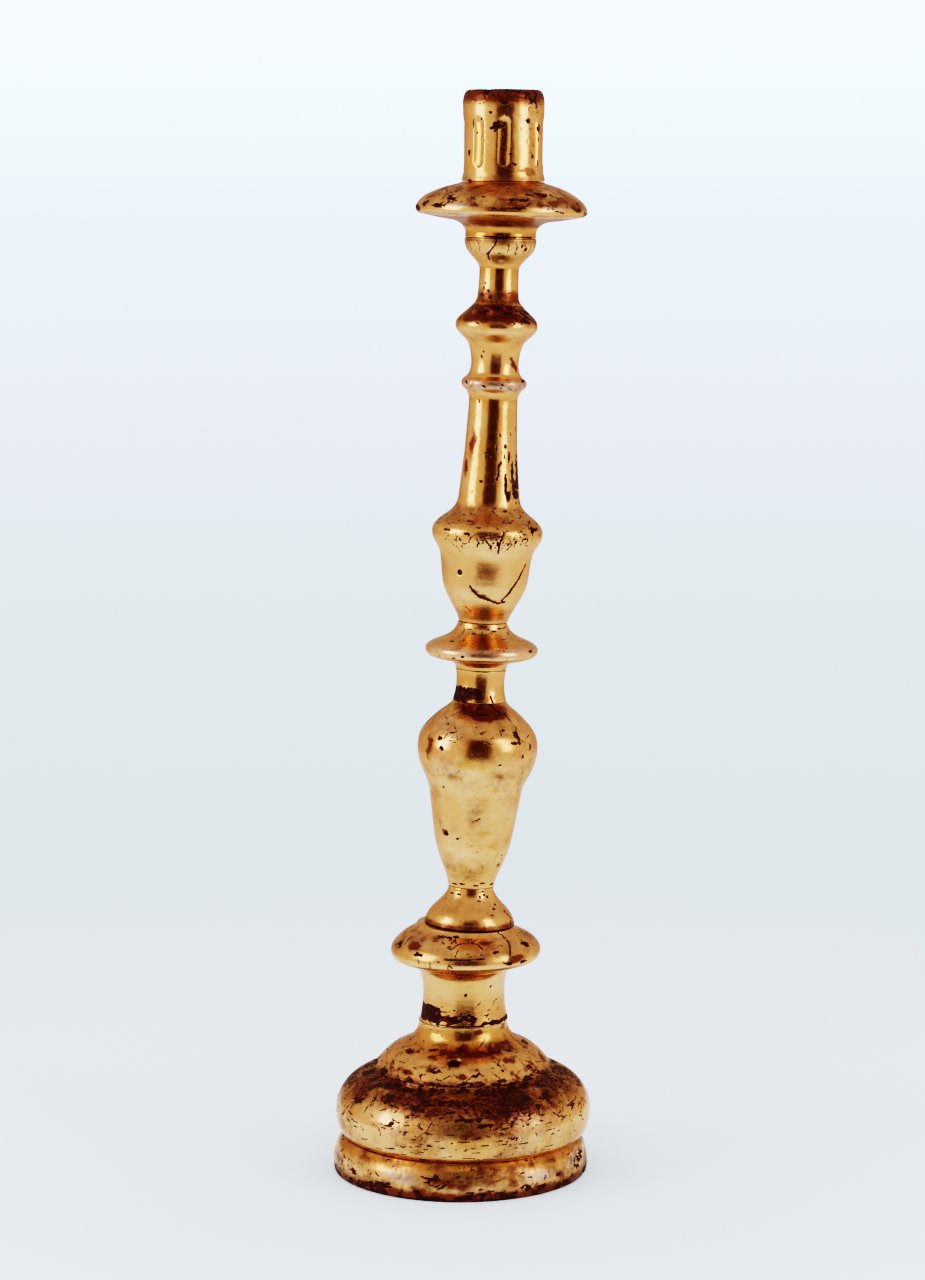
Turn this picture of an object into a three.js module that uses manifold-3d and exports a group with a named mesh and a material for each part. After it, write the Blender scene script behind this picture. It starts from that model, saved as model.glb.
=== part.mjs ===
// Turned and gilded wooden altar candlestick, built as the stack of glued pieces it is made from.
// Millimetres, +Z up. The origin is the centre of the base, on the surface it stands on.
// The base stands level. The shaft leans to +X because its socket in the neck was bored a little off true,
// and the candle socket on top stands almost plumb again, as its own tenon was.

import * as THREE from "three";
import { mergeVertices } from "three/addons/utils/BufferGeometryUtils.js";
import Module from "manifold-3d";

const wasm = await Module();
wasm.setup();

// ---------------------------------------------------------------- driving dimensions

const FIT_GAP = 0.3; // between two pieces that meet, and around every tenon

// Height of each piece, from its own lower joint to the joint above it.
const HEIGHT = {
  plinth: 18.6,
  torus: 34.4,
  dome: 24,
  neck: 28,
  lowerDisc: 21,
  cup: 19.6,
  vase: 94,
  collar: 16,
  midDisc: 23.6,
  upperShaft: 189.4,
  pan: 27.5,
  socket: 44.5,
};

// Largest radius of each piece.
const RADIUS = {
  plinth: 64.2,
  torus: 64.4,
  dome: 45.2,
  neck: 24.6,
  lowerDisc: 37.7,
  cup: 22.7,
  vase: 30,
  midDisc: 28.1,
  urn: 27.5,
  ring: 16.1,
  knop: 20.3,
  bulb: 17.7,
  pan: 42.2,
  socket: 20.1,
};

// How far the pieces stand off true.
const PLINTH_OFFSET = -0.7;
const TORUS_OFFSET = 0.6;
const NECK_OFFSET = 1;
const LOWER_DISC_OFFSET = 1.9;
const SHAFT_OFFSET = 3.8;
const SOCKET_OFFSET = 0.3;
const SHAFT_LEAN = THREE.MathUtils.degToRad(2.55);
const MID_DISC_LEAN = THREE.MathUtils.degToRad(1.7);
const PAN_LEAN = THREE.MathUtils.degToRad(1.7);
const SOCKET_LEAN = THREE.MathUtils.degToRad(0.4);

// Joinery inside the stack.
const BASE_TENON = { radius: 11 };
const VASE_TENON = { radius: 7, seat: 24 };
const SHAFT_TENON = { radius: 6.5, seat: 26 };
const SOCKET_TENON = { radius: 5, seat: 18 };
const END_ROOM = 1.5; // empty end of a blind hole below its tenon
const SEAT_SPARE = 1.2; // left on top of a piece that carries a tilted one, then cut away to its slope

// Hollow under the base, and the wedge that spreads the tenon's end there.
const FOOT_HOLLOW = { radius: 50, depth: 3.3, edge: 2 };
const WEDGE = { height: 22, width: 18, thickEnd: 3, thinEnd: 0.9 };

// Nail driven through the front of the dome into the tenon of the neck.
const NAIL = {
  headRadius: 2.3,
  headThickness: 1.2,
  shankRadius: 1.2,
  pointRadius: 0.35,
  length: 24,
  sunk: 1.6,
  entryRadius: 33.2,
  entryHeight: 64.6,
  bearing: THREE.MathUtils.degToRad(-95),
  droop: THREE.MathUtils.degToRad(18),
};

// Candle hole, its sheet-metal liner, and the flutes round the outside of the socket.
const CANDLE = { radius: 11.2 };
const LINER = { wall: 0.6, floor: 0.8, depth: 35, flangeRadius: 15.2, flange: 0.8 };
const REBATE_DEPTH = 1.2;
const FLUTE = { count: 8, width: 6.1, depth: 0.8, from: 8, to: 32 };

// Roundness of the turning.
const SIDES = { base: 32, disc: 28, shaft: 24 };
const CURVE_STEPS = 3;

// ---------------------------------------------------------------- materials

function finish(color, roughness, metalness) {
  return () => new THREE.MeshStandardMaterial({ color, roughness, metalness });
}

const gilding = finish(0xc8913f, 0.38, 0.85);
const bareWood = finish(0x8a5a34, 0.8, 0);
const forgedIron = finish(0x2a211d, 0.75, 0.6);
const tinnedIron = finish(0x6e675f, 0.55, 0.8);

// ---------------------------------------------------------------- solids

function toManifold(geometry) {
  const bare = geometry.clone();
  bare.deleteAttribute("normal");
  bare.deleteAttribute("uv");
  const merged = mergeVertices(bare, 1e-4);
  const mesh = new wasm.Mesh({
    numProp: 3,
    vertProperties: new Float32Array(merged.attributes.position.array),
    triVerts: new Uint32Array(merged.index.array),
  });
  return new wasm.Manifold(mesh);
}

function toGeometry(solid) {
  const mesh = solid.getMesh();
  const geometry = new THREE.BufferGeometry();
  geometry.setAttribute("position", new THREE.BufferAttribute(mesh.vertProperties, 3));
  geometry.setIndex(new THREE.BufferAttribute(mesh.triVerts, 1));
  geometry.computeVertexNormals();
  return geometry;
}

// A body of revolution about Z. The outline runs from the axis at the bottom, up the outside, to the axis.
function turned(outline, sides) {
  const lathe = new THREE.LatheGeometry(outline.getPoints(CURVE_STEPS), sides);
  return lathe.rotateX(Math.PI / 2);
}

// An upright rod about Z between two heights.
function rod(radius, from, to, sides = SIDES.shaft) {
  const cylinder = new THREE.CylinderGeometry(radius, radius, to - from, sides);
  return cylinder.rotateX(Math.PI / 2).translate(0, 0, (from + to) / 2);
}

function join(geometry, ...others) {
  const solid = others.reduce((sum, other) => sum.add(toManifold(other)), toManifold(geometry));
  return toGeometry(solid);
}

function cut(geometry, ...others) {
  const solid = others.reduce((rest, other) => rest.subtract(toManifold(other)), toManifold(geometry));
  return toGeometry(solid);
}

function piece(name, geometry, material) {
  const mesh = new THREE.Mesh(geometry, material());
  mesh.name = name;
  return mesh;
}

// Cuts a tool, given in the guest's own frame, out of a host that stands in another frame.
function cutInPlace(host, guest, tool) {
  const toHost = host.matrixWorld.clone().invert().multiply(guest.matrixWorld);
  host.geometry = cut(host.geometry, tool.clone().applyMatrix4(toHost));
}

// Bores a host for a tenon that hangs below its owner, along the owner's own axis.
function bore(host, owner, radius, from, to) {
  cutInPlace(host, owner, rod(radius + FIT_GAP, from, to));
}

// ---------------------------------------------------------------- base

function basePlinth() {
  const top = HEIGHT.plinth - FIT_GAP;
  const outline = new THREE.Path()
    .moveTo(0, FOOT_HOLLOW.depth)
    .lineTo(FOOT_HOLLOW.radius, FOOT_HOLLOW.depth)
    .lineTo(FOOT_HOLLOW.radius + FOOT_HOLLOW.edge, 0)
    .lineTo(RADIUS.plinth - 1.2, 0)
    .quadraticCurveTo(RADIUS.plinth, 0.6, RADIUS.plinth, 3)
    .quadraticCurveTo(RADIUS.plinth, 11.5, RADIUS.plinth - 2.8, 15.6)
    .lineTo(RADIUS.plinth - 5, top)
    .lineTo(0, top);
  return piece("base_plinth", turned(outline, SIDES.base), gilding);
}

function baseTorus() {
  const bulge = { radius: 43, height: 12.2, across: RADIUS.torus - 43, up: 20.3 };
  const top = HEIGHT.torus - FIT_GAP;
  const outline = new THREE.Path()
    .moveTo(0, 0)
    .lineTo(RADIUS.torus - 4.4, 0)
    .quadraticCurveTo(RADIUS.torus - 0.2, 3.2, RADIUS.torus, bulge.height)
    .absellipse(bulge.radius, bulge.height, bulge.across, bulge.up, 0, THREE.MathUtils.degToRad(82))
    .lineTo(RADIUS.dome, top)
    .lineTo(0, top);
  return piece("base_torus", turned(outline, SIDES.base), gilding);
}

function baseDome() {
  const neckJoint = 22.4;
  const top = HEIGHT.dome - FIT_GAP;
  const outline = new THREE.Path()
    .moveTo(0, 0)
    .lineTo(RADIUS.dome, 0)
    .bezierCurveTo(42.5, 3, 40, 7, 34.8, 10.4)
    .bezierCurveTo(29, 13.4, 22, 14.8, neckJoint, top)
    .lineTo(0, top);
  return piece("base_dome", turned(outline, SIDES.base), gilding);
}

function baseNeck() {
  const waist = 20.6;
  const top = HEIGHT.neck - FIT_GAP;
  const outline = new THREE.Path()
    .moveTo(0, 0)
    .lineTo(22.3, 0)
    .quadraticCurveTo(waist + 0.2, 6, waist, 14)
    .bezierCurveTo(waist, 21, 21.5, 25, RADIUS.neck, top)
    .lineTo(0, top);
  const tenonEnd = FOOT_HOLLOW.depth + FIT_GAP - (HEIGHT.plinth + HEIGHT.torus + HEIGHT.dome);
  const tenon = rod(BASE_TENON.radius, tenonEnd, 1);
  const body = join(turned(outline, SIDES.shaft), tenon);
  return piece("base_neck", body, gilding);
}

// A flat tapered key, standing on its thick end. Room widens it on every side, for the slot that takes it.
function wedgeShape(room, width) {
  const outline = new THREE.Shape()
    .moveTo(-WEDGE.thickEnd / 2 - room, -room)
    .lineTo(WEDGE.thickEnd / 2 + room, -room)
    .lineTo(WEDGE.thinEnd / 2 + room, WEDGE.height + room)
    .lineTo(-WEDGE.thinEnd / 2 - room, WEDGE.height + room)
    .closePath();
  const slab = new THREE.ExtrudeGeometry(outline, { depth: width, bevelEnabled: false });
  return slab.translate(0, 0, -width / 2).rotateX(Math.PI / 2);
}

function tenonWedge() {
  return piece("tenon_wedge", wedgeShape(0, WEDGE.width), bareWood);
}

// The nail lies along its own Z axis, point up, with the outside of its head at zero.
function nailOutline(room) {
  return new THREE.Path()
    .moveTo(0, -room)
    .lineTo(NAIL.headRadius + room, -room)
    .lineTo(NAIL.headRadius + room, NAIL.headThickness + room)
    .lineTo(NAIL.shankRadius + room, NAIL.headThickness + room)
    .lineTo(NAIL.pointRadius + room, NAIL.length + room)
    .lineTo(0, NAIL.length + room);
}

function baseNail() {
  return piece("base_nail", turned(nailOutline(0), 12), forgedIron);
}

// ---------------------------------------------------------------- discs, cup and vase

function lowerDisc() {
  const rim = { radius: RADIUS.lowerDisc, height: 7.3 };
  const top = HEIGHT.lowerDisc + SEAT_SPARE;
  const outline = new THREE.Path()
    .moveTo(0, 0)
    .lineTo(24.5, 0)
    .quadraticCurveTo(31, 1.6, rim.radius - 2.3, 3.6)
    .quadraticCurveTo(rim.radius, 4.8, rim.radius, rim.height)
    .bezierCurveTo(rim.radius, 12.2, 32.5, 15.8, 26.2, 18.6)
    .lineTo(24.4, HEIGHT.lowerDisc - 1)
    .lineTo(24.4, top)
    .lineTo(0, top);
  return piece("lower_disc", turned(outline, SIDES.disc), gilding);
}

function lowerCup() {
  const top = HEIGHT.cup - FIT_GAP;
  const outline = new THREE.Path()
    .moveTo(0, 0)
    .lineTo(RADIUS.cup, 0)
    .quadraticCurveTo(22.3, 3, 20.9, 5.4)
    .bezierCurveTo(18.8, 9.2, 13.2, 12.5, 11.5, 17.3)
    .lineTo(11.3, top)
    .lineTo(0, top);
  return piece("lower_cup", turned(outline, SIDES.shaft), gilding);
}

function vase() {
  const belly = { radius: RADIUS.vase, height: 70.4 };
  const top = HEIGHT.vase - FIT_GAP;
  const outline = new THREE.Path()
    .moveTo(0, 0)
    .lineTo(11.5, 0)
    .bezierCurveTo(12, 6, 17.2, 13, 19.2, 23.2)
    .bezierCurveTo(20.4, 30, 22, 40, 23, 47.5)
    .bezierCurveTo(23.8, 54, belly.radius, 60.5, belly.radius, belly.height)
    .bezierCurveTo(belly.radius, 78.5, 26.2, 81.5, 21.4, 86.4)
    .bezierCurveTo(18, 89.6, 14.6, 91.2, 13.5, top)
    .lineTo(0, top);
  const tenonEnd = -(HEIGHT.cup + HEIGHT.lowerDisc + VASE_TENON.seat);
  const tenon = rod(VASE_TENON.radius, tenonEnd, 1);
  return piece("vase", join(turned(outline, SIDES.shaft), tenon), gilding);
}

function neckCollar() {
  const top = HEIGHT.collar - FIT_GAP;
  const outline = new THREE.Path()
    .moveTo(0, 0)
    .lineTo(13.3, 0)
    .quadraticCurveTo(12, 4.5, 11.95, 9)
    .quadraticCurveTo(12, 13, 12.6, top)
    .lineTo(0, top);
  return piece("neck_collar", turned(outline, SIDES.shaft), gilding);
}

function midDisc() {
  const rim = { radius: RADIUS.midDisc, height: 9.6 };
  const top = HEIGHT.midDisc - FIT_GAP;
  const outline = new THREE.Path()
    .moveTo(0, 0)
    .lineTo(12.7, 0)
    .quadraticCurveTo(13, 3.4, 18, 4.6)
    .quadraticCurveTo(24, 5.4, rim.radius - 1.7, 6.6)
    .quadraticCurveTo(rim.radius, 7.6, rim.radius, rim.height)
    .bezierCurveTo(rim.radius, 13.4, 21.5, 14, 17, 17)
    .quadraticCurveTo(13, 19.5, 12.3, top)
    .lineTo(0, top);
  return piece("mid_disc", turned(outline, SIDES.disc), gilding);
}

// ---------------------------------------------------------------- upper shaft

// One long turning: urn, taper, ring, spool, knop, throat and bulb, from the bottom up.
function upperShaft() {
  const top = HEIGHT.upperShaft + SEAT_SPARE;
  const outline = new THREE.Path().moveTo(0, 0).lineTo(12.2, 0);
  // urn
  outline.bezierCurveTo(13, 5, 20.6, 13, 21.4, 21.6);
  outline.bezierCurveTo(22.4, 27, 22.2, 33, 24.3, 36.8);
  outline.bezierCurveTo(26, 39.6, RADIUS.urn, 41.4, RADIUS.urn, 45);
  outline.bezierCurveTo(RADIUS.urn, 49.6, 21, 52.6, 18, 55.8);
  // taper
  outline.quadraticCurveTo(15.4, 58.6, 15.1, 63);
  outline.quadraticCurveTo(12.3, 90, 12.15, 110.5);
  // ring
  outline.quadraticCurveTo(12.4, 113.4, 14.2, 115.1);
  outline.bezierCurveTo(RADIUS.ring + 0.6, 117, RADIUS.ring + 0.6, 119.4, 14.8, 120.8);
  // spool
  outline.quadraticCurveTo(12, 122.6, 11.8, 127.6);
  outline.quadraticCurveTo(12, 135, 14.2, 138.4);
  // knop
  outline.bezierCurveTo(16.6, 141.6, RADIUS.knop, 143, RADIUS.knop, 147);
  outline.bezierCurveTo(RADIUS.knop, 151.6, 11.6, 155, 10.4, 160);
  // throat
  outline.quadraticCurveTo(9.6, 167, 9.9, 175);
  // bulb
  outline.bezierCurveTo(11.4, 178.4, 15.4, 181, 16.8, 183.8);
  outline.quadraticCurveTo(RADIUS.bulb, 186, RADIUS.bulb, 188.4);
  outline.lineTo(RADIUS.bulb, top);
  outline.lineTo(0, top);
  const tenonEnd = -(HEIGHT.midDisc + HEIGHT.collar + SHAFT_TENON.seat);
  const tenon = rod(SHAFT_TENON.radius, tenonEnd, 1);
  return piece("upper_shaft", join(turned(outline, SIDES.shaft), tenon), gilding);
}

// ---------------------------------------------------------------- head

function dripPan() {
  const rim = { radius: RADIUS.pan, height: 13.8 };
  const top = HEIGHT.pan + SEAT_SPARE;
  const outline = new THREE.Path()
    .moveTo(0, 0)
    .lineTo(17.5, 0)
    .lineTo(17.4, 2.5)
    .quadraticCurveTo(18, 6.8, 23.4, 8.1)
    .quadraticCurveTo(33, 9.4, rim.radius - 2.2, 11)
    .quadraticCurveTo(rim.radius, 11.8, rim.radius, rim.height)
    .bezierCurveTo(rim.radius, 18.2, 34.2, 23.2, 24.6, 25.8)
    .lineTo(20.6, HEIGHT.pan - 0.5)
    .lineTo(20.6, top)
    .lineTo(0, top);
  return piece("drip_pan", turned(outline, SIDES.disc), gilding);
}

function fluteTools(wallRadius) {
  const half = FLUTE.width / 2;
  const radius = (half * half + FLUTE.depth * FLUTE.depth) / (2 * FLUTE.depth);
  const straight = FLUTE.to - FLUTE.from - FLUTE.width;
  const tools = [];
  for (let i = 0; i < FLUTE.count; i += 1) {
    const tool = new THREE.CapsuleGeometry(radius, straight, 4, 16);
    tool.rotateX(Math.PI / 2);
    tool.translate(wallRadius + radius - FLUTE.depth, 0, (FLUTE.from + FLUTE.to) / 2);
    tool.rotateZ(-Math.PI / 2 + (i * 2 * Math.PI) / FLUTE.count);
    tools.push(tool);
  }
  return tools;
}

function candleSocket() {
  const wall = 19.6;
  const top = HEIGHT.socket - 0.2;
  const holeRadius = CANDLE.radius + LINER.wall + FIT_GAP;
  const seat = top - REBATE_DEPTH;
  const holeFloor = seat - LINER.depth;
  const outline = new THREE.Path()
    .moveTo(0, 0)
    .lineTo(20.4, 0)
    .quadraticCurveTo(20.2, 2.4, wall, 4.2)
    .lineTo(wall, 28)
    .quadraticCurveTo(RADIUS.socket, 33, RADIUS.socket, 37.5)
    .quadraticCurveTo(RADIUS.socket, 42.6, 17.6, top)
    .lineTo(LINER.flangeRadius + FIT_GAP, top)
    .lineTo(LINER.flangeRadius + FIT_GAP, seat)
    .lineTo(holeRadius, seat)
    .lineTo(holeRadius, holeFloor)
    .lineTo(0, holeFloor);
  const fluted = cut(turned(outline, SIDES.base), ...fluteTools(wall));
  const tenon = rod(SOCKET_TENON.radius, -(HEIGHT.pan + SOCKET_TENON.seat), 1);
  return piece("candle_socket", join(fluted, tenon), gilding);
}

// The liner stands in the candle hole on its flange, which lies in the rebate round the rim.
function socketLiner() {
  const under = HEIGHT.socket - 0.2 - REBATE_DEPTH + FIT_GAP;
  const bottom = under - LINER.depth;
  const outline = new THREE.Path()
    .moveTo(0, bottom)
    .lineTo(CANDLE.radius + LINER.wall, bottom)
    .lineTo(CANDLE.radius + LINER.wall, under)
    .lineTo(LINER.flangeRadius, under)
    .lineTo(LINER.flangeRadius, under + LINER.flange)
    .lineTo(CANDLE.radius, under + LINER.flange)
    .lineTo(CANDLE.radius, bottom + LINER.floor)
    .lineTo(0, bottom + LINER.floor);
  return piece("socket_liner", turned(outline, SIDES.shaft), tinnedIron);
}

// ---------------------------------------------------------------- assembly

const candlestick = new THREE.Group();

// Places a piece in a group at a height on the group's axis, and gives the height of the joint above it.
function stack(group, mesh, at, height, offset = 0) {
  mesh.position.set(offset, 0, at);
  group.add(mesh);
  return at + height;
}

const plinth = basePlinth();
const torus = baseTorus();
const dome = baseDome();
const neck = baseNeck();
const disc = lowerDisc();
let level = stack(candlestick, plinth, 0, HEIGHT.plinth, PLINTH_OFFSET);
level = stack(candlestick, torus, level, HEIGHT.torus, TORUS_OFFSET);
level = stack(candlestick, dome, level, HEIGHT.dome, TORUS_OFFSET);
level = stack(candlestick, neck, level, HEIGHT.neck, NECK_OFFSET);
level = stack(candlestick, disc, level, HEIGHT.lowerDisc, LOWER_DISC_OFFSET);

const shaft = new THREE.Group();
shaft.position.set(SHAFT_OFFSET, 0, level);
shaft.rotation.y = SHAFT_LEAN;
candlestick.add(shaft);

const cup = lowerCup();
const body = vase();
const collar = neckCollar();
const middle = midDisc();
const upper = upperShaft();
let along = stack(shaft, cup, 0, HEIGHT.cup);
along = stack(shaft, body, along, HEIGHT.vase);
along = stack(shaft, collar, along, HEIGHT.collar);
along = stack(shaft, middle, along, HEIGHT.midDisc);
along = stack(shaft, upper, along, HEIGHT.upperShaft);
middle.rotation.y = MID_DISC_LEAN - SHAFT_LEAN;

const head = new THREE.Group();
head.position.z = along;
head.rotation.y = PAN_LEAN - SHAFT_LEAN;
shaft.add(head);

const pan = dripPan();
head.add(pan);

const candleEnd = new THREE.Group();
candleEnd.position.set(SOCKET_OFFSET, 0, HEIGHT.pan);
candleEnd.rotation.y = SOCKET_LEAN - PAN_LEAN;
head.add(candleEnd);

const socket = candleSocket();
const liner = socketLiner();
candleEnd.add(socket, liner);

const wedge = tenonWedge();
wedge.position.set(NECK_OFFSET, 0, FOOT_HOLLOW.depth + FIT_GAP);
candlestick.add(wedge);

// The nail's axis points inwards and a little down from where it enters the dome.
const nail = baseNail();
const outward = new THREE.Vector3(Math.cos(NAIL.bearing), Math.sin(NAIL.bearing), 0);
const inward = outward.clone().multiplyScalar(-Math.cos(NAIL.droop));
inward.z = -Math.sin(NAIL.droop);
nail.quaternion.setFromUnitVectors(new THREE.Vector3(0, 0, 1), inward);
nail.position.copy(outward).multiplyScalar(NAIL.entryRadius);
nail.position.x += TORUS_OFFSET;
nail.position.z = NAIL.entryHeight;
nail.position.addScaledVector(inward, NAIL.sunk);
candlestick.add(nail);

// ---------------------------------------------------------------- joinery

candlestick.updateMatrixWorld(true);

// Cuts the top of a host to the slope of the piece that stands on it.
function plane(host, standing) {
  cutInPlace(host, standing, rod(2 * RADIUS.pan, -FIT_GAP, 4 * SEAT_SPARE));
}

plane(disc, cup);
plane(upper, pan);
plane(pan, socket);

// The neck's tenon runs down through the whole base.
for (const host of [dome, torus, plinth]) {
  bore(host, neck, BASE_TENON.radius, -HEIGHT.plinth - HEIGHT.torus - HEIGHT.dome - 1, 1);
}
cutInPlace(neck, wedge, wedgeShape(FIT_GAP, 2 * BASE_TENON.radius + 2));
const nailHole = join(turned(nailOutline(FIT_GAP), 12), rod(NAIL.headRadius + FIT_GAP, -12, 1, 12));
cutInPlace(dome, nail, nailHole);
cutInPlace(neck, nail, turned(nailOutline(FIT_GAP), 12));

// The vase's tenon runs down through the cup and the lower disc into the neck.
const vaseTenonEnd = -(HEIGHT.cup + HEIGHT.lowerDisc + VASE_TENON.seat);
for (const host of [cup, disc, neck]) {
  bore(host, body, VASE_TENON.radius, vaseTenonEnd - END_ROOM, 2);
}

// The upper shaft's tenon runs down through the middle disc and the collar into the vase.
const shaftTenonEnd = -(HEIGHT.midDisc + HEIGHT.collar + SHAFT_TENON.seat);
for (const host of [middle, collar, body]) {
  bore(host, upper, SHAFT_TENON.radius, shaftTenonEnd - END_ROOM, 2);
}

// The socket's tenon runs down through the drip pan into the top of the upper shaft.
const socketTenonEnd = -(HEIGHT.pan + SOCKET_TENON.seat);
for (const host of [pan, upper]) {
  bore(host, socket, SOCKET_TENON.radius, socketTenonEnd - END_ROOM, 2);
}

export default candlestick;
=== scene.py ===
"""Looks of the turned and gilded altar candlestick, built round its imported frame.

Every piece is turned again at full detail, in the place that its CAD node gives it, with its flutes, chips,
cracks and worn leaf. Lengths are in millimetres until a mesh is made, and angles run in degrees from the
front of the candlestick, growing to the right.
"""

import math
from collections import namedtuple
from itertools import product

import bpy
import numpy as np
from mathutils import Matrix, Vector


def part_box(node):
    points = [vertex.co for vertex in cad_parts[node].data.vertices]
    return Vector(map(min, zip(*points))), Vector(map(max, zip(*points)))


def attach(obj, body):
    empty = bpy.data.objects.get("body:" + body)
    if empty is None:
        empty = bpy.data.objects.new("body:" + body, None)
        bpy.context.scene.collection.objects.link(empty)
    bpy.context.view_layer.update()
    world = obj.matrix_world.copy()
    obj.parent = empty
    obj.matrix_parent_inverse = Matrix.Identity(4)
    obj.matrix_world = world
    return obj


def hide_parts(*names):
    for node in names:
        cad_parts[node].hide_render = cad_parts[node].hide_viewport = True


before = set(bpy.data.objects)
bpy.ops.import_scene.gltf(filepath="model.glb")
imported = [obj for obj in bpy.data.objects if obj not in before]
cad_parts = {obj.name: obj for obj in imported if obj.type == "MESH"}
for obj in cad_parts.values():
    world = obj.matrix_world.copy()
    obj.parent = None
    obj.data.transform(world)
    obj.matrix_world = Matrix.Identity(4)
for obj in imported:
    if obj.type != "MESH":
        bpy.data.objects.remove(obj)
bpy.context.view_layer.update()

MM = 0.001

# ---------------------------------------------------------------- driving dimensions

GAP = 0.12  # shown between two glued pieces
LIGHT_GAP = 0.03  # inside a joint, so that no light shows through it
STEP = 0.6  # between two rings of a piece's skin
SHARP_EDGE = 50  # degrees
EDGE_BLEND = 1.2  # relief fades out this near to a piece's joints
FOOT_BLEND = 3  # height over which a tilted foot evens out
AROUND = (-180, 180)  # the whole way round a piece

HEIGHT = {
    "base_plinth": 18.6,
    "base_torus": 34.4,
    "base_dome": 24,
    "base_neck": 28,
    "lower_disc": 21,
    "lower_cup": 19.6,
    "vase": 94,
    "neck_collar": 16,
    "mid_disc": 23.6,
    "upper_shaft": 189.4,
    "drip_pan": 27.5,
    "candle_socket": 44.3,
}

# Degrees that a piece leans to +X. The rest of the pieces stand upright.
LEAN = {
    "lower_cup": 2.55,
    "vase": 2.55,
    "neck_collar": 2.55,
    "mid_disc": 1.7,
    "upper_shaft": 2.55,
    "drip_pan": 1.7,
    "candle_socket": 0.4,
    "socket_liner": 0.4,
}

# Tenon under a piece: its radius and its length.
TENON = {
    "base_neck": (11, 73.4),
    "vase": (7, 64.6),
    "upper_shaft": (6.5, 65.6),
    "candle_socket": (5, 45.5),
}
TENON_ROOM = 0.3  # round a tenon
BORE_ROOM = 1.5  # under its end

PLINTH_RADIUS = 64.2
TORUS_RADIUS = 64.4
DOME_RADIUS = 45.2
FOOT_HOLLOW = {"radius": 50, "depth": 3.3, "edge": 2}
SOCKET_WALL = 19.6
FLUTE = {"half_width": 3.3, "depth": 0.95, "middle": 19, "half_length": 12.4}
FLUTE_ANGLES = (0, 49, 88, 137, 181, 222, 270, 321)
NAIL = {"head": (-2.16, -31.56, 64.11), "axis": (0.083, 0.947, -0.309), "length": 24}
CANDLE_HOLE = {"rebate": 1.2, "depth": 35}
# Radii, and heights above the socket's foot.
LINER = {"inside": 11.2, "outside": 11.8, "flange": 15.2, "bottom": 8.4, "floor": 9.2, "rim": 44.2}


def foot_of(node):
    """The frame of a turned piece: the middle of its foot, above its tenon if it has one."""
    turn = Matrix.Rotation(math.radians(LEAN.get(node, 0)), 4, "Y")
    straighten = turn.inverted()
    points = [straighten @ (v.co / MM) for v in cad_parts[node].data.vertices]
    low = [min(p[axis] for p in points) for axis in range(3)]
    high = [max(p[axis] for p in points) for axis in range(3)]
    tenon = TENON.get(node, (0, 0))[1]
    middle = Vector(((low[0] + high[0]) / 2, (low[1] + high[1]) / 2, low[2] + tenon))
    return turn @ Matrix.Translation(middle)


FOOT = {node: foot_of(node) for node in [*HEIGHT, "socket_liner"]}


def slope_between(host, guest):
    """How fast the guest's foot rises along +X, seen from the host."""
    return math.tan(math.radians(LEAN.get(host, 0) - LEAN.get(guest, 0)))


# ---------------------------------------------------------------- noise

NOISE_TABLE = np.random.default_rng(7).uniform(-1, 1, 1 << 16)  # value_noise keeps 16 bits of a place


def value_noise(points, size, seed):
    """Smooth noise from -1 to 1, with features about as wide as size."""
    cells = points / size
    corner = np.floor(cells)
    share = cells - corner
    share = share * share * (3 - 2 * share)
    corner = corner.astype(np.int64)
    total = np.zeros(len(points))
    for right, back, up in product((0, 1), repeat=3):
        place_in_table = (
            (corner[:, 0] + right) * 7919
            + (corner[:, 1] + back) * 15731
            + (corner[:, 2] + up) * 24593
            + seed * 4999
        ) & 0xFFFF
        weight = share[:, 0] if right else 1 - share[:, 0]
        weight = weight * (share[:, 1] if back else 1 - share[:, 1])
        weight = weight * (share[:, 2] if up else 1 - share[:, 2])
        total += weight * NOISE_TABLE[place_in_table]
    return total


def cloud(points, size, seed, octaves=4, fade=0.55):
    """Noise from about -1 to 1 that holds finer and finer features."""
    total = np.zeros(len(points))
    weight = 1.0
    whole = 0.0
    for octave in range(octaves):
        total += weight * value_noise(points, size / 2**octave, seed + 17 * octave)
        whole += weight
        weight *= fade
    return 1.6 * total / whole


def smooth(low, high, value):
    """0 below low, 1 above high, and a soft step between."""
    share = np.clip((value - low) / (high - low), 0, 1)
    return share * share * (3 - 2 * share)


# ---------------------------------------------------------------- turned pieces

class Outline:
    """The skin of a turned piece in section, as radius and height, from its foot up."""

    def __init__(self, radius, height, step=STEP):
        self.step = step
        self.points = [(radius, height)]

    def _run(self, at, length):
        count = max(2, math.ceil(length / self.step))
        self.points += [at(i / count) for i in range(1, count + 1)]
        return self

    def line(self, radius, height):
        start = self.points[-1]
        end = (radius, height)
        return self._run(
            lambda t: tuple(a + t * (b - a) for a, b in zip(start, end)),
            math.dist(start, end),
        )

    def curve(self, *corners):
        """A quadratic or cubic curve through its control points: r, z, r, z, ..."""
        start = self.points[-1]
        knots = [start, *zip(corners[::2], corners[1::2])]
        length = sum(math.dist(a, b) for a, b in zip(knots, knots[1:]))

        def at(t):
            level = knots
            while len(level) > 1:
                level = [tuple(p + t * (q - p) for p, q in zip(a, b)) for a, b in zip(level, level[1:])]
            return level[0]

        return self._run(at, length)

    def ellipse(self, radius, height, across, up, to_degrees):
        """Part of an ellipse, from its widest point up."""
        end = math.radians(to_degrees)
        return self._run(
            lambda t: (radius + across * math.cos(t * end), height + up * math.sin(t * end)),
            max(across, up) * end,
        )


# Painted on a skin from 0 to 1: lost leaf, rubbing, dirt mixed with painted shade and painted dark
# reflections, milky haze mixed with painted highlights, and yellowed varnish mixed with painted warm
# reflections on undersides.
LAYERS = ("loss", "wear", "grime", "pale", "amber")


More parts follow.
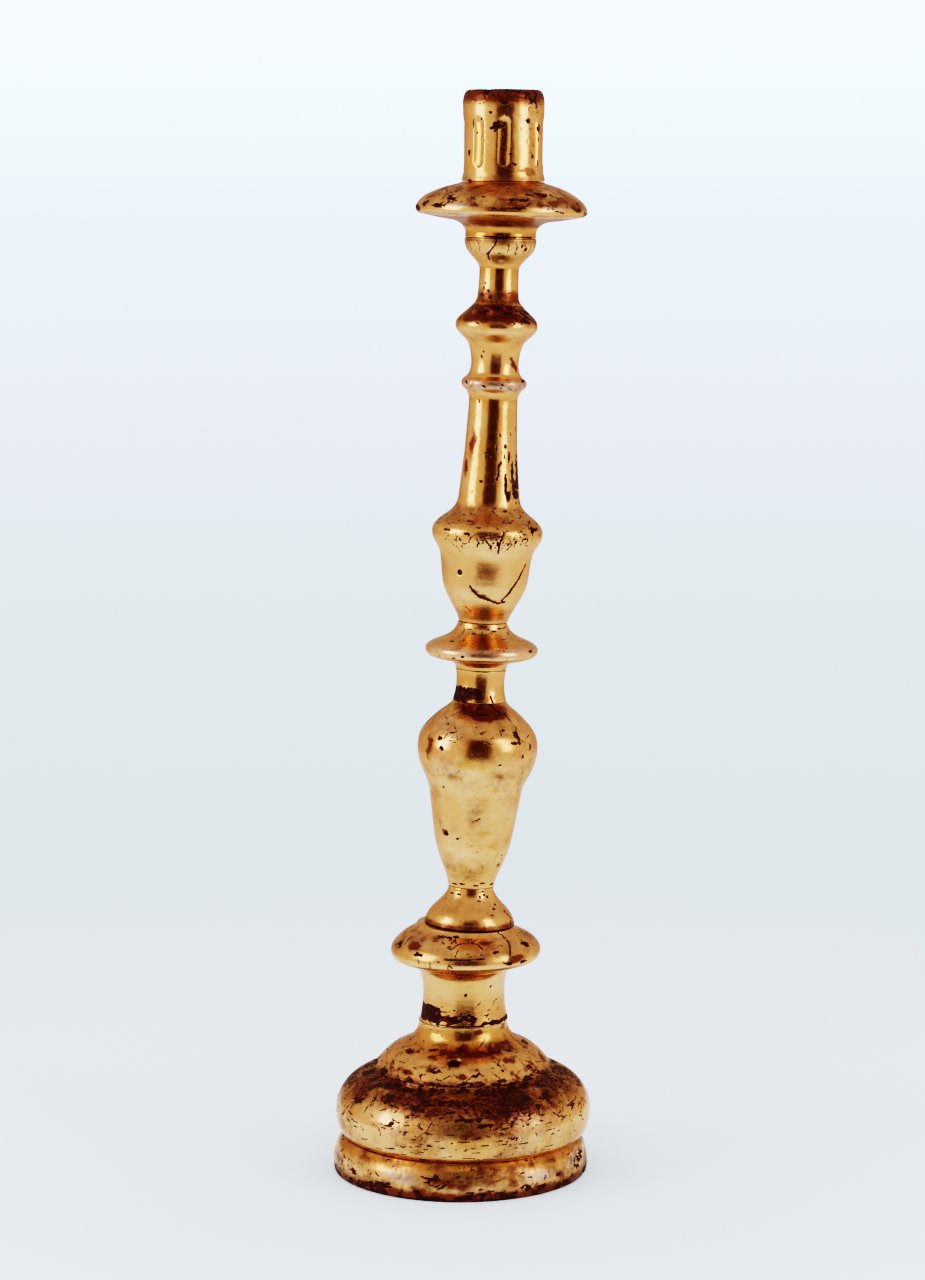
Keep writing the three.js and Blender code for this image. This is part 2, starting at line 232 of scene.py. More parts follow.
class Skin:
    """The shown surface of a turned piece, point by point, and what is painted and carved on it."""

    def __init__(self, section, angle, radius, height, along, rise, seed):
        self.section = section
        self.angle = angle
        self.radius = radius
        self.height = height
        self.along = along
        self.rise = rise
        self.seed = seed
        turn = np.radians(angle)
        self.points = np.stack((radius * np.sin(turn), -radius * np.cos(turn), height), axis=1)
        self.relief = np.zeros(len(angle))
        self.layers = {name: np.zeros(len(angle)) for name in LAYERS}

    def place(self, height):
        """Distance along the outline at a height."""
        return float(np.interp(height, *self.section))

    def offsets(self, angle, height):
        """How far each point lies to the right of a place on the skin and above it, along the skin."""
        turn = (self.angle - angle + 180) % 360 - 180
        return self.radius * np.radians(turn), self.along - self.place(height)

    def spot(self, angle, height, wide, tall=None, turn=0):
        """1 in the middle of a spot, 0.5 on its edge, 0 at twice its size."""
        right, up = self.offsets(angle, height)
        c, s = math.cos(math.radians(turn)), math.sin(math.radians(turn))
        across = (right * c + up * s) / wide
        above = (up * c - right * s) / (tall or wide)
        return np.clip(1 - 0.5 * np.hypot(across, above), 0, 1)

    def stroke(self, places, half_width=0.45):
        """1 along a line drawn through places on the skin, 0.5 at its edges."""
        nearest = np.full(len(self.angle), 1e9)
        for (angle_a, height_a), (angle_b, height_b) in zip(places, places[1:]):
            right, up = self.offsets(angle_a, height_a)
            reach = self.place(height_b) - self.place(height_a)
            near = np.argmin(np.hypot(right, up))
            span = self.radius[near] * math.radians(angle_b - angle_a)
            length = max(span * span + reach * reach, 1e-9)
            share = np.clip((right * span + up * reach) / length, 0, 1)
            nearest = np.minimum(nearest, np.hypot(right - share * span, up - share * reach))
        return np.clip(1 - 0.5 * nearest / half_width, 0, 1)

    def belt(self, low, high, soft=1.0):
        """1 between two heights, 0.5 at them."""
        bottom = (self.along - self.place(low)) / (2 * soft) + 0.5
        top = (self.place(high) - self.along) / (2 * soft) + 0.5
        return np.clip(np.minimum(bottom, top), 0, 1)

    def sector(self, start, end, soft=8):
        """1 between two angles, 0.5 at them."""
        middle = (start + end) / 2
        turn = np.abs((self.angle - middle + 180) % 360 - 180)
        return np.clip(((end - start) / 2 - turn) / (2 * soft) + 0.5, 0, 1)

    def cloud(self, size, seed, stretch=1.0, octaves=4):
        """Noise on the skin. Stretch makes it wider than it is tall."""
        return cloud(self.points * (1, 1, stretch), size, self.seed + seed, octaves)

    def paint(self, **fields):
        """Lays fields over the layers of the same names, where they are stronger."""
        for layer, field in fields.items():
            self.layers[layer] = np.maximum(self.layers[layer], np.clip(field, 0, 1))

    def press(self, field, depth):
        """Carves into the skin."""
        self.relief -= depth * field

    def ragged(self, field, size=3.0, roughness=0.4, seed=1):
        """Turns a soft field into a patch with a torn edge."""
        torn = field + roughness * self.cloud(size, seed, 1.5) * smooth(0.02, 0.3, field)
        return smooth(0.24, 0.76, torn)

    def tear(self, field, size=3.0, roughness=0.4, depth=0.0):
        """Lost leaf with a torn edge, and lost gesso too if it has a depth."""
        torn = self.ragged(field, size, roughness)
        self.press(torn, depth)
        self.paint(loss=torn)

    def ticks(self, places):
        """Small losses with clean edges."""
        for place in places:
            self.paint(loss=smooth(0.4, 0.55, self.spot(*place)))

    def spots(self, layer, places, size=2.0):
        """Losses have torn edges, and stains soft ones."""
        uneven = self.cloud(size, 1)
        for place in places:
            field = self.spot(*place)
            soft = smooth(0.1, 1.0, field * (1 + 0.6 * uneven))
            self.paint(**{layer: self.ragged(field, size, 0.6) if layer == "loss" else soft})

    def crack(self, places, half_width=0.45, depth=0.3):
        """A line of broken gesso and lost leaf."""
        wander = 0.35 * self.cloud(2.0, 5, octaves=2)
        field = np.clip(self.stroke(places, half_width) * (1 + wander), 0, 1)
        self.paint(loss=smooth(0.3, 0.6, field))
        self.press(smooth(0.2, 0.8, field), depth)

    def patches(self, layer, amount, size, stretch=1.0, seed=3):
        """Scattered patches. An amount of 0 gives none, 0.5 covers about half."""
        field = smooth(0.34, 0.68, 0.32 * self.cloud(size, seed, stretch, 5) + amount)
        self.paint(**{layer: field})

    def scratches(self, count, heights, angles, length, steep=40, half_width=0.25):
        """Short random cuts through the leaf."""
        draw = np.random.default_rng(self.seed + count)
        uneven = 1 + 0.4 * self.cloud(1.5, 6, octaves=1)
        for _ in range(count):
            angle = draw.uniform(*angles)
            height = draw.uniform(*heights)
            reach = length * draw.uniform(0.3, 1)
            slant = math.radians(draw.normal(0, steep))
            turn = math.degrees(reach * math.cos(slant) / np.interp(height, self.height, self.radius))
            tip = (angle + turn, height + reach * math.sin(slant))
            field = self.stroke([(angle, height), tip], half_width)
            self.paint(loss=smooth(0.3, 0.6, field * uneven))

    def dents(self, count, size, depth):
        """Random shallow knocks, all the way round."""
        draw = np.random.default_rng(self.seed)
        for _ in range(count):
            angle = draw.uniform(*AROUND)
            height = draw.uniform(self.height.min(), self.height.max())
            width = size * draw.uniform(0.4, 1)
            field = self.spot(angle, height, width, width * draw.uniform(0.3, 1), draw.uniform(-40, 40))
            self.press(smooth(0.3, 1, field), depth * draw.uniform(0.3, 1))


# A hidden ring. Without a node's frame, it is in the piece's own and follows its tilted ends.
Ring = namedtuple("Ring", ("radius", "height", "node", "slope"), defaults=(None, 0))


class Turning:
    """A turned piece: hidden rings, its skin, and hidden rings again, joined into one closed body."""

    def __init__(self, node, outline, sides, seed):
        self.node = node
        self.outline = outline
        self.sides = sides
        self.seed = seed
        self.below = []
        self.above = []
        self.top_tilt = (0, 0, 1, 2)
        self.foot_tilt = 0

    def hide_below(self, *rings):
        """Rings from the start of the section to the skin."""
        self.below = [Ring(*ring) for ring in rings]

    def hide_above(self, *rings):
        """Rings from the skin to the end of the section."""
        self.above = [Ring(*ring) for ring in rings]

    def tenon(self):
        """The piece's own tenon, down from its foot."""
        radius, length = TENON[self.node]
        self.hide_below((0, -length), (radius, -length), (radius, 0))

    def through_bore(self, guest, *upward, slope=0):
        """A bore for the tenon of a guest. Upward names the pieces from this one to the guest."""
        radius = TENON[guest][0] + TENON_ROOM
        foot = -sum(HEIGHT[node] for node in upward)
        self.hide_below((radius, foot, guest, slope))
        self.hide_above((radius, foot + HEIGHT[self.node] - GAP, guest))

    def straight_bore(self, guest):
        """A bore for the tenon of a guest, along the piece's own axis."""
        radius = TENON[guest][0] + TENON_ROOM
        self.hide_below((radius, 0))
        self.hide_above((radius, HEIGHT[self.node] - GAP))

    def blind_bore(self, guest, *upward, slope=0):
        """A bore for the end of a guest's tenon. Upward names the pieces between it and the guest."""
        radius, length = TENON[guest]
        radius += TENON_ROOM
        top = -sum(HEIGHT[node] for node in upward) - GAP
        bottom = -length - BORE_ROOM
        self.hide_above((radius, top, guest, slope), (radius, bottom, guest), (0, bottom, guest))

    def tilt_top(self, slope, pivot, start):
        """Shears the skin above start so that its top edge follows the piece that stands on it."""
        self.top_tilt = (slope, pivot, start, HEIGHT[self.node] - GAP)

    def tilt_foot(self, slope):
        """Shears the foot so that it follows the piece that it stands on."""
        self.foot_tilt = slope

    def _sheared(self, x, height):
        slope, pivot, start, end = self.top_tilt
        up = slope * (x - pivot) * np.clip((height - start) / (end - start), 0, 1)
        down = self.foot_tilt * x * np.clip(1 - height / FOOT_BLEND, 0, 1)
        return height + up + down

    def _hidden(self, ring, turns):
        count = 1 if ring.radius == 0 else len(turns)
        x = (ring.radius * np.sin(turns))[:count]
        y = (-ring.radius * np.cos(turns))[:count]
        z = np.full(count, float(ring.height)) + ring.slope * x
        if ring.node is None:
            z = self._sheared(x, z)
        return np.stack((x, y, z), axis=1), FOOT[ring.node or self.node]

    def build(self, dress, material):
        """Makes the piece, with what its dress carves and paints on the skin."""
        turns = np.linspace(0, 2 * np.pi, self.sides, endpoint=False)
        skin, moved = self._dressed(turns, dress)
        rows = [self._hidden(ring, turns) for ring in self.below]
        first_skin = sum(len(points) for points, _ in rows)
        count = len(self.outline.points)
        rows += [(moved[i * self.sides : (i + 1) * self.sides], FOOT[self.node]) for i in range(count)]
        rows += [self._hidden(ring, turns) for ring in self.above]
        mesh = mesh_of_rings(self.node, [place(points, own) for points, own in rows])
        mesh.polygons.foreach_set("use_smooth", np.ones(len(mesh.polygons), bool))
        mesh.set_sharp_from_angle(angle=math.radians(SHARP_EDGE))
        last_skin = first_skin + len(moved)
        for name, values in skin.layers.items():
            layer = np.zeros(len(mesh.vertices), np.float32)
            layer[first_skin:last_skin] = values
            mesh.attributes.new(name, "FLOAT", "POINT").data.foreach_set("value", layer)
        bare = np.ones(len(mesh.vertices), np.float32)
        bare[first_skin:last_skin] = 0
        mesh.attributes.new("bare", "FLOAT", "POINT").data.foreach_set("value", bare)
        add_piece(self.node, "turned", mesh, material)

    def _dressed(self, turns, dress):
        """The dressed skin, and its points in the piece's frame."""
        section = np.array(self.outline.points)
        along = np.concatenate(([0], np.cumsum(np.hypot(*np.diff(section, axis=0).T))))
        slope = np.gradient(section, along, axis=0)
        slope /= np.hypot(*slope.T)[:, None]
        outward = np.repeat(slope[:, 1], self.sides)
        upward = np.repeat(-slope[:, 0], self.sides)
        angle = np.tile(np.degrees(turns), len(section))
        radius, height = (np.repeat(column, self.sides) for column in section.T)
        heights = np.maximum.accumulate(section[:, 1])
        skin = Skin((heights, along), angle, radius, height, np.repeat(along, self.sides), upward, self.seed)
        turner_and_gesso(skin)
        dress(skin)
        ends = np.minimum(skin.along, along[-1] - skin.along)
        relief = skin.relief * smooth(0, EDGE_BLEND, ends)
        around = np.radians(angle)
        x = (radius + relief * outward) * np.sin(around)
        y = -(radius + relief * outward) * np.cos(around)
        return skin, np.stack((x, y, self._sheared(x, height + relief * upward)), axis=1)


def place(points, own):
    """Points of a piece's frame in the candlestick's frame."""
    matrix = np.array(own)
    return points @ matrix[:3, :3].T + matrix[:3, 3]


def joined(counts):
    """Faces between rings in a row. A section with no end on the axis closes on itself."""
    starts = np.concatenate(([0], np.cumsum(counts)))[:-1].tolist()
    rings = list(zip(starts, counts))
    pairs = list(zip(rings, rings[1:]))
    if counts[0] > 1 and counts[-1] > 1:
        pairs.append((rings[-1], rings[0]))
    faces = []
    for (low, low_count), (high, high_count) in pairs:
        sides = max(low_count, high_count)
        for i in range(sides):
            j = (i + 1) % sides
            face = [low + i % low_count, low + j % low_count, high + j % high_count, high + i % high_count]
            faces.append(list(dict.fromkeys(face)))
    return faces


def mesh_of_rings(name, rings, open_ended=False):
    """A mesh through rings of points in millimetres."""
    mesh = bpy.data.meshes.new(name)
    faces = joined([len(ring) for ring in rings])
    if open_ended:
        faces = faces[: -len(rings[0])]
    mesh.from_pydata((np.concatenate(rings) * MM).tolist(), [], faces)
    return mesh


def add_piece(node, kind, mesh, material, body="candlestick"):
    """Puts a mesh in the place of its CAD node."""
    mesh.materials.append(material)
    piece = bpy.data.objects.new(node + "_" + kind, mesh)
    bpy.context.scene.collection.objects.link(piece)
    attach(piece, body)
    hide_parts(node)


def turner_and_gesso(skin):
    """What every turned piece shares: turning out of true, thick gesso, tool rings, wear with age, dirt on
    its tops, and painted shade and painted warm reflections on its undersides.
    """
    skin.press(skin.cloud(22, 40, octaves=2), 0.10)
    skin.press(skin.cloud(7, 41, octaves=3), 0.045)
    rings = np.stack((skin.along, 0 * skin.along, 0 * skin.along), axis=1)
    skin.press(value_noise(rings, 1.3, skin.seed + 42), 0.012)
    skin.dents(14, 2.2, 0.16)
    upward = smooth(0.2, 0.8, skin.rise)
    skin.paint(wear=0.30 + 0.22 * skin.cloud(14, 43) + 0.12 * upward)
    skin.paint(grime=0.12 + 0.10 * skin.cloud(11, 45))
    skin.paint(grime=0.35 * upward * (0.7 + 0.6 * skin.cloud(9, 44)))
    # Painted shade and a painted warm reflection of the gilt below, on every face that looks down.
    downward = smooth(0.25, 0.85, -skin.rise)
    skin.paint(amber=0.18 + 0.16 * skin.cloud(10, 46))
    skin.paint(amber=0.6 * downward)
    skin.paint(grime=0.38 * downward)


# ---------------------------------------------------------------- node trees

class Nodes:
    """Short calls for building a node tree. A value given to a call is a socket, a number or a colour."""

    def __init__(self, tree):
        self.tree = tree
        tree.nodes.clear()
        self.coordinates = None

    def add(self, kind, **settings):
        node = self.tree.nodes.new(kind)
        for name, value in settings.items():
            setattr(node, name, value)
        return node

    def feed(self, socket, value):
        if isinstance(value, bpy.types.NodeSocket):
            self.tree.links.new(value, socket)
        elif isinstance(value, tuple) and len(value) == 3 and socket.type == "RGBA":
            socket.default_value = (*value, 1)
        else:
            socket.default_value = value

    def math(self, operation, *values):
        node = self.add("ShaderNodeMath", operation=operation)
        for socket, value in zip(node.inputs, values):
            self.feed(socket, value)
        return node.outputs[0]

    def chain(self, operation, values):
        total = values[0]
        for value in values[1:]:
            total = self.math(operation, total, value)
        return total

    def plus(self, *values):
        return self.chain("ADD", values)

    def times(self, *values):
        return self.chain("MULTIPLY", values)

    def most(self, *values):
        return self.chain("MAXIMUM", values)

    def swing(self, noise, reach):
        """Noise made to swing about 0."""
        return self.times(self.plus(noise, -0.5), reach)

    def rest(self, value):
        """What a share leaves of 1."""
        return self.math("SUBTRACT", 1.0, value)

    def step(self, value, low, high, to_low=0.0, to_high=1.0):
        node = self.add("ShaderNodeMapRange", interpolation_type="SMOOTHSTEP")
        for socket, given in zip(node.inputs, (value, low, high, to_low, to_high)):
            self.feed(socket, given)
        return node.outputs[0]

    def mix(self, share, first, second, blend="MIX"):
        node = self.add("ShaderNodeMix", data_type="RGBA", blend_type=blend)
        self.feed(node.inputs["Factor"], share)
        self.feed(node.inputs[6], first)
        self.feed(node.inputs[7], second)
        return node.outputs[2]

    def place(self, stretch=(1, 1, 1), shift=0.0):
        """Object coordinates in metres, stretched and shifted."""
        if self.coordinates is None:
            self.coordinates = self.add("ShaderNodeTexCoord").outputs["Object"]
        node = self.add("ShaderNodeMapping")
        self.feed(node.inputs["Vector"], self.coordinates)
        node.inputs["Scale"].default_value = stretch
        node.inputs["Location"].default_value = (shift, 0.37 * shift, 0.71 * shift)
        return node.outputs[0]

    def noise(self, size, detail=4.0, roughness=0.6, stretch=(1, 1, 1), shift=0.0, distortion=0.0):
        """Noise from 0 to 1 with features about size millimetres wide."""
        node = self.add("ShaderNodeTexNoise")
        self.feed(node.inputs["Vector"], self.place(stretch, shift))
        self.feed(node.inputs["Scale"], 1 / (size * MM))
        self.feed(node.inputs["Detail"], detail)
        self.feed(node.inputs["Roughness"], roughness)
        self.feed(node.inputs["Distortion"], distortion)
        return node.outputs["Fac"]

    def cells(self, size, shift=0.0):
        """Distance to the nearest of many scattered points about size millimetres apart."""
        node = self.add("ShaderNodeTexVoronoi", feature="F1")
        self.feed(node.inputs["Vector"], self.place(shift=shift))
        self.feed(node.inputs["Scale"], 1 / (size * MM))
        return node.outputs["Distance"]

    def layer(self, name):
        """What is painted on a piece's skin under this name."""
        return self.add("ShaderNodeAttribute", attribute_name=name).outputs["Fac"]

    def bump(self, height, distance, normal=None):
        """Fine relief, distance millimetres deep."""
        node = self.add("ShaderNodeBump")
        self.feed(node.inputs["Height"], height)
        self.feed(node.inputs["Strength"], 1.0)
        self.feed(node.inputs["Distance"], distance * MM)
        if normal is not None:
            self.feed(node.inputs["Normal"], normal)
        return node.outputs[0]

    def mix_shaders(self, share, first, second):
        node = self.add("ShaderNodeMixShader")
        for socket, value in zip(node.inputs, (share, first.outputs[0], second.outputs[0])):
            self.feed(socket, value)
        return node

    def finish(self, kind, shader):
        self.feed(self.add(kind).inputs["Surface"], shader.outputs[0])

    def surface(self, **inputs):
        """A principled surface. Underscores in the names stand for spaces."""
        node = self.add("ShaderNodeBsdfPrincipled")
        for name, value in inputs.items():
            self.feed(node.inputs[name.replace("_", " ")], value)
        self.finish("ShaderNodeOutputMaterial", node)


def new_material(name):
    material = bpy.data.materials.new(name)
    material.use_nodes = True
    return material, Nodes(material.node_tree)


# ---------------------------------------------------------------- materials

LEAF_GOLD = (0.80, 0.39, 0.125)
LEAF_LIGHT = (0.86, 0.475, 0.19)
LEAF_AMBER = (0.64, 0.265, 0.05)
LEAF_PALE = (0.76, 0.49, 0.34)
EDGE_TINT = (0.85, 0.55, 0.32)
STAIN_AND_SHADE = (0.17, 0.062, 0.040)
UMBER = (0.024, 0.0032, 0.0012)
BOLE = (0.12, 0.018, 0.006)
GESSO = (0.27, 0.13, 0.075)
TURNED_WOOD = ((0.11, 0.050, 0.022), (0.23, 0.12, 0.055))
SPLIT_WOOD = ((0.09, 0.040, 0.018), (0.30, 0.17, 0.085))
WOOD_PORE = (0.045, 0.02, 0.01)
IRON = (0.028, 0.022, 0.020)
IRON_RUST = (0.085, 0.028, 0.010)
TIN = ((0.36, 0.34, 0.31), (0.52, 0.50, 0.46))
TIN_RUST = (0.13, 0.045, 0.016)
SOOT = (0.030, 0.026, 0.023)


def lost_leaf(n):
    """1 where the leaf is rubbed through, torn off or pitted."""
    wear = n.layer("wear")
    grain = n.swing(n.noise(1.7, 9, 0.72), 1.15)
    streaks = n.swing(n.noise(3.8, 8, 0.70, stretch=(1, 1, 3.2), shift=3.1), 0.95)
    field = n.most(n.layer("loss"), n.times(wear, 0.58))
    torn = n.step(n.plus(field, n.plus(grain, streaks)), 0.46, 0.53)
    pits = n.step(n.cells(1.3, shift=0.4), 0.10, 0.17, 1, 0)
    pitted = n.plus(n.noise(5, 4, 0.65, shift=8.8), n.times(wear, 0.12))
    pits = n.times(pits, n.step(pitted, 0.60, 0.66))
    return n.most(torn, n.times(pits, 0.85))


def dirt_and_shade_film(n):
    """Dirt on the leaf in drifts, together with the painted shade and painted dark reflections that share
    its layer.
    """
    dirt_and_shade = n.layer("grime")
    smoke = n.swing(n.noise(5, 7, 0.66, shift=2.2, distortion=0.4), 1.3)
    film = n.plus(n.times(dirt_and_shade, 1.15), smoke)
    return n.times(n.step(film, 0.05, 1.05), n.step(dirt_and_shade, 0.0, 0.25))


def leaf_color(n, grime, haze_and_highlight):
    """Gold leaf under warm varnish, hazed, scratched and stained. The haze also lays painted highlights, the
    stain painted shade and painted dark reflections, and the varnish painted warm reflections.
    """
    warmth = n.noise(16, 4, 0.55, shift=6.6)
    leaf = n.mix(n.step(warmth, 0.35, 0.65), LEAF_GOLD, LEAF_LIGHT)
    leaf = n.mix(n.step(n.noise(1.7, 5, 0.7, shift=1.1), 0.55, 0.80), leaf, LEAF_AMBER)
    leaf = n.mix(n.layer("amber"), leaf, LEAF_AMBER)
    leaf = n.mix(haze_and_highlight, leaf, LEAF_PALE)
    scratches = n.step(n.noise(2.6, 7, 0.72, stretch=(1, 1, 7), shift=5.2), 0.57, 0.63)
    scratches = n.times(scratches, n.step(n.noise(9, 3, 0.5, shift=7.9), 0.42, 0.58), 0.6)
    return n.mix(n.most(grime, scratches), leaf, n.mix(1.0, leaf, STAIN_AND_SHADE, "MULTIPLY"))


def ground_color(n):
    """What shows under lost leaf: old umber, red bole, and gesso here and there."""
    under = n.mix(n.step(n.noise(3.0, 6, 0.65, shift=9.1), 0.53, 0.66), UMBER, BOLE)
    return n.mix(n.step(n.noise(1.8, 5, 0.65, shift=7.3), 0.66, 0.74), under, GESSO)


def worn_gilding():
    """Burnished leaf over red bole and gesso, rubbed and flaked down to dark old wood, with painted shade,
    painted reflections and painted highlights laid into the leaf.
    """
    material, n = new_material("worn_gilding")
    bare = n.layer("bare")
    loss = lost_leaf(n)
    grime = dirt_and_shade_film(n)
    mist = n.swing(n.noise(3, 5, 0.65, shift=4.4), 0.9)
    haze_and_highlight = n.step(n.plus(n.layer("pale"), mist), 0.15, 0.75)
    wood = n.mix(n.noise(2.5, 5, 0.6, stretch=(1, 1, 0.12)), *TURNED_WOOD)
    color = n.mix(bare, n.mix(loss, leaf_color(n, grime, haze_and_highlight), ground_color(n)), wood)

    intact = n.times(n.rest(loss), n.rest(bare))
    polish = n.plus(0.10, n.times(n.noise(4, 4, 0.6, shift=2.9), 0.20), n.times(grime, 0.16))
    polish = n.plus(polish, n.times(haze_and_highlight, 0.08), n.times(n.layer("wear"), 0.06))
    flaked = n.bump(n.rest(loss), 0.10)
    wrinkled = n.bump(n.noise(0.9, 4, 0.6, shift=3.8), 0.02, flaked)
    n.surface(
        Base_Color=color,
        Metallic=n.times(intact, n.step(grime, 0, 1, 1.0, 0.8)),
        Roughness=n.mix(n.rest(intact), polish, (0.66, 0.66, 0.66)),
        IOR=1.3,
        Specular_Tint=EDGE_TINT,
        Coat_Weight=n.times(intact, n.step(grime, 0, 1, 0.75, 0.3)),
        Coat_IOR=1.45,
        Coat_Roughness=0.20,
        Normal=n.bump(n.noise(6, 2, 0.5, shift=5.9), 0.10, wrinkled),
    )
    return material


def bare_wood():
    """Old dry softwood, cut along the grain."""
    material, n = new_material("bare_wood")
    grain = n.noise(1.2, 6, 0.65, stretch=(1, 1, 0.08))
    pores = n.noise(0.35, 3, 0.6, stretch=(1, 1, 0.15), shift=2.0)
    color = n.mix(grain, *SPLIT_WOOD)
    color = n.mix(n.step(pores, 0.60, 0.75), color, WOOD_PORE)
    n.surface(
        Base_Color=color,
        Roughness=n.step(grain, 0.3, 0.7, 0.7, 0.88),
        Normal=n.bump(n.plus(grain, n.times(pores, 0.5)), 0.12),
    )
    return material


def forged_iron():
    """A hand-forged nail, black with rust."""
    material, n = new_material("forged_iron")
    rust = n.step(n.noise(1.2, 5, 0.65), 0.45, 0.62)
    n.surface(
        Base_Color=n.mix(rust, IRON, IRON_RUST),
        Metallic=n.step(rust, 0, 1, 0.75, 0.05),
        Roughness=n.step(rust, 0, 1, 0.45, 0.9),
        Normal=n.bump(n.noise(0.6, 4, 0.6, shift=1.0), 0.12),
    )
    return material


def sooted_tin():
    """Tinned sheet iron, dulled, rusting at its edges and sooted by the candle."""
    material, n = new_material("sooted_tin")
    soot = n.step(n.noise(7, 5, 0.6, stretch=(1, 1, 0.5)), 0.42, 0.68)
    rust = n.step(n.noise(2.2, 5, 0.65, shift=3.3), 0.58, 0.68)
    color = n.mix(n.noise(3, 3, 0.5, shift=1.4), *TIN)
    color = n.mix(n.times(soot, 0.85), color, SOOT)
    color = n.mix(rust, color, TIN_RUST)
    dull = n.most(soot, rust)
    scratches = n.noise(1.1, 4, 0.6, stretch=(1, 1, 0.1), shift=6.1)
    n.surface(
        Base_Color=color,
        Metallic=n.step(dull, 0, 1, 0.95, 0.2),
        Roughness=n.step(dull, 0, 1, 0.34, 0.85),
        Normal=n.bump(n.plus(n.times(scratches, 0.5), n.times(rust, 0.5)), 0.06),
    )
    return material


# ---------------------------------------------------------------- base

def dress_base_plinth(skin):
    low = 1 - smooth(1.5, 9.0, skin.height)
    skin.paint(wear=0.50 + 0.3 * skin.cloud(12, 1, 2))
    skin.scratches(90, (0.5, 13), AROUND, 5, 35, 0.28)
    skin.patches("loss", 0.46 * low + 0.12, 5, 2.2)
    skin.patches("loss", 0.29, 6, 2.4, 7)
    skin.paint(grime=1.1 * low + 0.35 * skin.belt(15, 19, 1.5))
    skin.paint(grime=0.48 + 0.40 * skin.cloud(10, 4, 2))
    skin.paint(amber=0.9 * skin.belt(14.5, 18.6, 1))
    # Painted highlights: two pale patches where the softboxes shine on the plinth.
    skin.paint(pale=0.75 * skin.spot(-28, 10.5, 11, 2.6) + 0.8 * skin.spot(38, 10, 10, 2.6))
    chip = skin.ragged(skin.spot(66, 11, 9, 3.2, 24), 5, 0.35)
    skin.press(chip * (0.7 + 0.3 * skin.cloud(2, 3)), 1.5)
    skin.tear(0.8 * skin.spot(70, 10, 6, 2.4, 24), 1.6, 0.8)
    skin.paint(pale=chip)
    skin.paint(grime=0.6 * chip)
    for angle in (76, 152, 205, 251, 318):
        skin.tear(skin.spot(angle, 2.5, 3.5, 1.8), depth=0.8)
    skin.spots("loss", (
        (-57, 8, 3, 1.2), (-40, 5, 6, 1.2), (-12, 11, 4, 0.8), (10, 4, 7, 1.2), (30, 5, 3, 1.4),
    ))


def base_plinth(material):
    r = PLINTH_RADIUS
    top = HEIGHT["base_plinth"] - GAP
    outline = Outline(r - 1.7, 0).curve(r - 1.0, 0, r - 0.5, 0.5).curve(r, 0.9, r, 3)
    outline.curve(r, 11.5, r - 2.8, 15.6).line(r - 4.6, top - 0.6).curve(r - 5, top, r - 5.6, top)
    hollow, hollow_radius = FOOT_HOLLOW["depth"], FOOT_HOLLOW["radius"]
    piece = Turning("base_plinth", outline, sides=640, seed=11)
    piece.through_bore("base_neck", "base_plinth", "base_torus", "base_dome")
    bore = piece.below[0]
    piece.hide_below(
        bore._replace(height=bore.height + hollow),
        (hollow_radius, hollow),
        (hollow_radius + FOOT_HOLLOW["edge"], 0),
    )
    piece.build(dress_base_plinth, material)


def dress_base_torus(skin):
    upper = smooth(16, 30, skin.height)
    drift = skin.cloud(20, 1)
    skin.paint(wear=0.40 + 0.36 * upper + 0.30 * drift)
    skin.patches("loss", 0.10 + 0.23 * upper + 0.08 * drift, 3.2, 1.8)
    skin.patches("loss", 0.14 + 0.20 * upper, 7, 3.0, 8)
    skin.paint(grime=0.25 + 0.55 * upper + 0.3 * drift)
    # Painted highlights: pale bands where the softboxes shine on the torus.
    skin.paint(pale=0.35 * skin.belt(12, 26, 4) * (skin.sector(-52, -22, 8) + skin.sector(20, 45, 8)))
    skin.patches("loss", 0.50 * skin.belt(30.5, 35, 1.6), 5, 1)
    skin.paint(grime=0.75 * skin.belt(28, 35, 2.0) * (0.8 + 0.5 * drift))
    skin.spots("loss", (
        (38, 25, 1.6), (-34, 18, 1.8, 1.2), (9, 19, 5, 1.2), (32, 29, 5, 2), (47, 28, 4, 2),
        (18, 25, 7, 1.2), (-7, 29, 9, 1.8), (-41, 28, 5, 2.2), (23, 28, 7, 2), (-60, 24, 4, 2),
        (-22, 26, 6, 1.2), (60, 22, 3, 2), (-15, 9.4, 1.4, 0.8), (-18, 1.5, 2.5, 0.7), (2, 22, 5, 1),
    ))
    skin.spots("amber", ((-44, 16.5, 3, 1.6), (5, 12, 12, 5)))
    for degrees in (20, 75, 130, 175):
        end = (8 + 4 * math.cos(math.radians(degrees)), 22.5 + 3.2 * math.sin(math.radians(degrees)))
        skin.crack([(8, 22.5), end], 0.35, 0.1)
    skin.scratches(46, (2, 14), (-60, 60), 7, 5, 0.2)
    skin.scratches(170, (13, 31), (-90, 90), 5, 40, 0.28)
    # Painted reflection: a dark patch where the torus mirrors the dark room in front.
    skin.paint(grime=0.9 * skin.spot(2, 15, 9, 3))
    skin.scratches(80, (6, 31), (90, 270), 7, 30, 0.3)


def base_torus(material):
    r = TORUS_RADIUS
    top = HEIGHT["base_torus"] - GAP
    outline = Outline(r - 5.4, 0).curve(r - 4.8, 0, r - 4.4, 0.4).curve(r - 0.2, 3.3, r, 12.2)
    outline.ellipse(43, 12.2, r - 43, 20.3, 82).line(DOME_RADIUS - 0.6, top)
    piece = Turning("base_torus", outline, sides=640, seed=22)
    piece.through_bore("base_neck", "base_torus", "base_dome")
    piece.build(dress_base_torus, material)


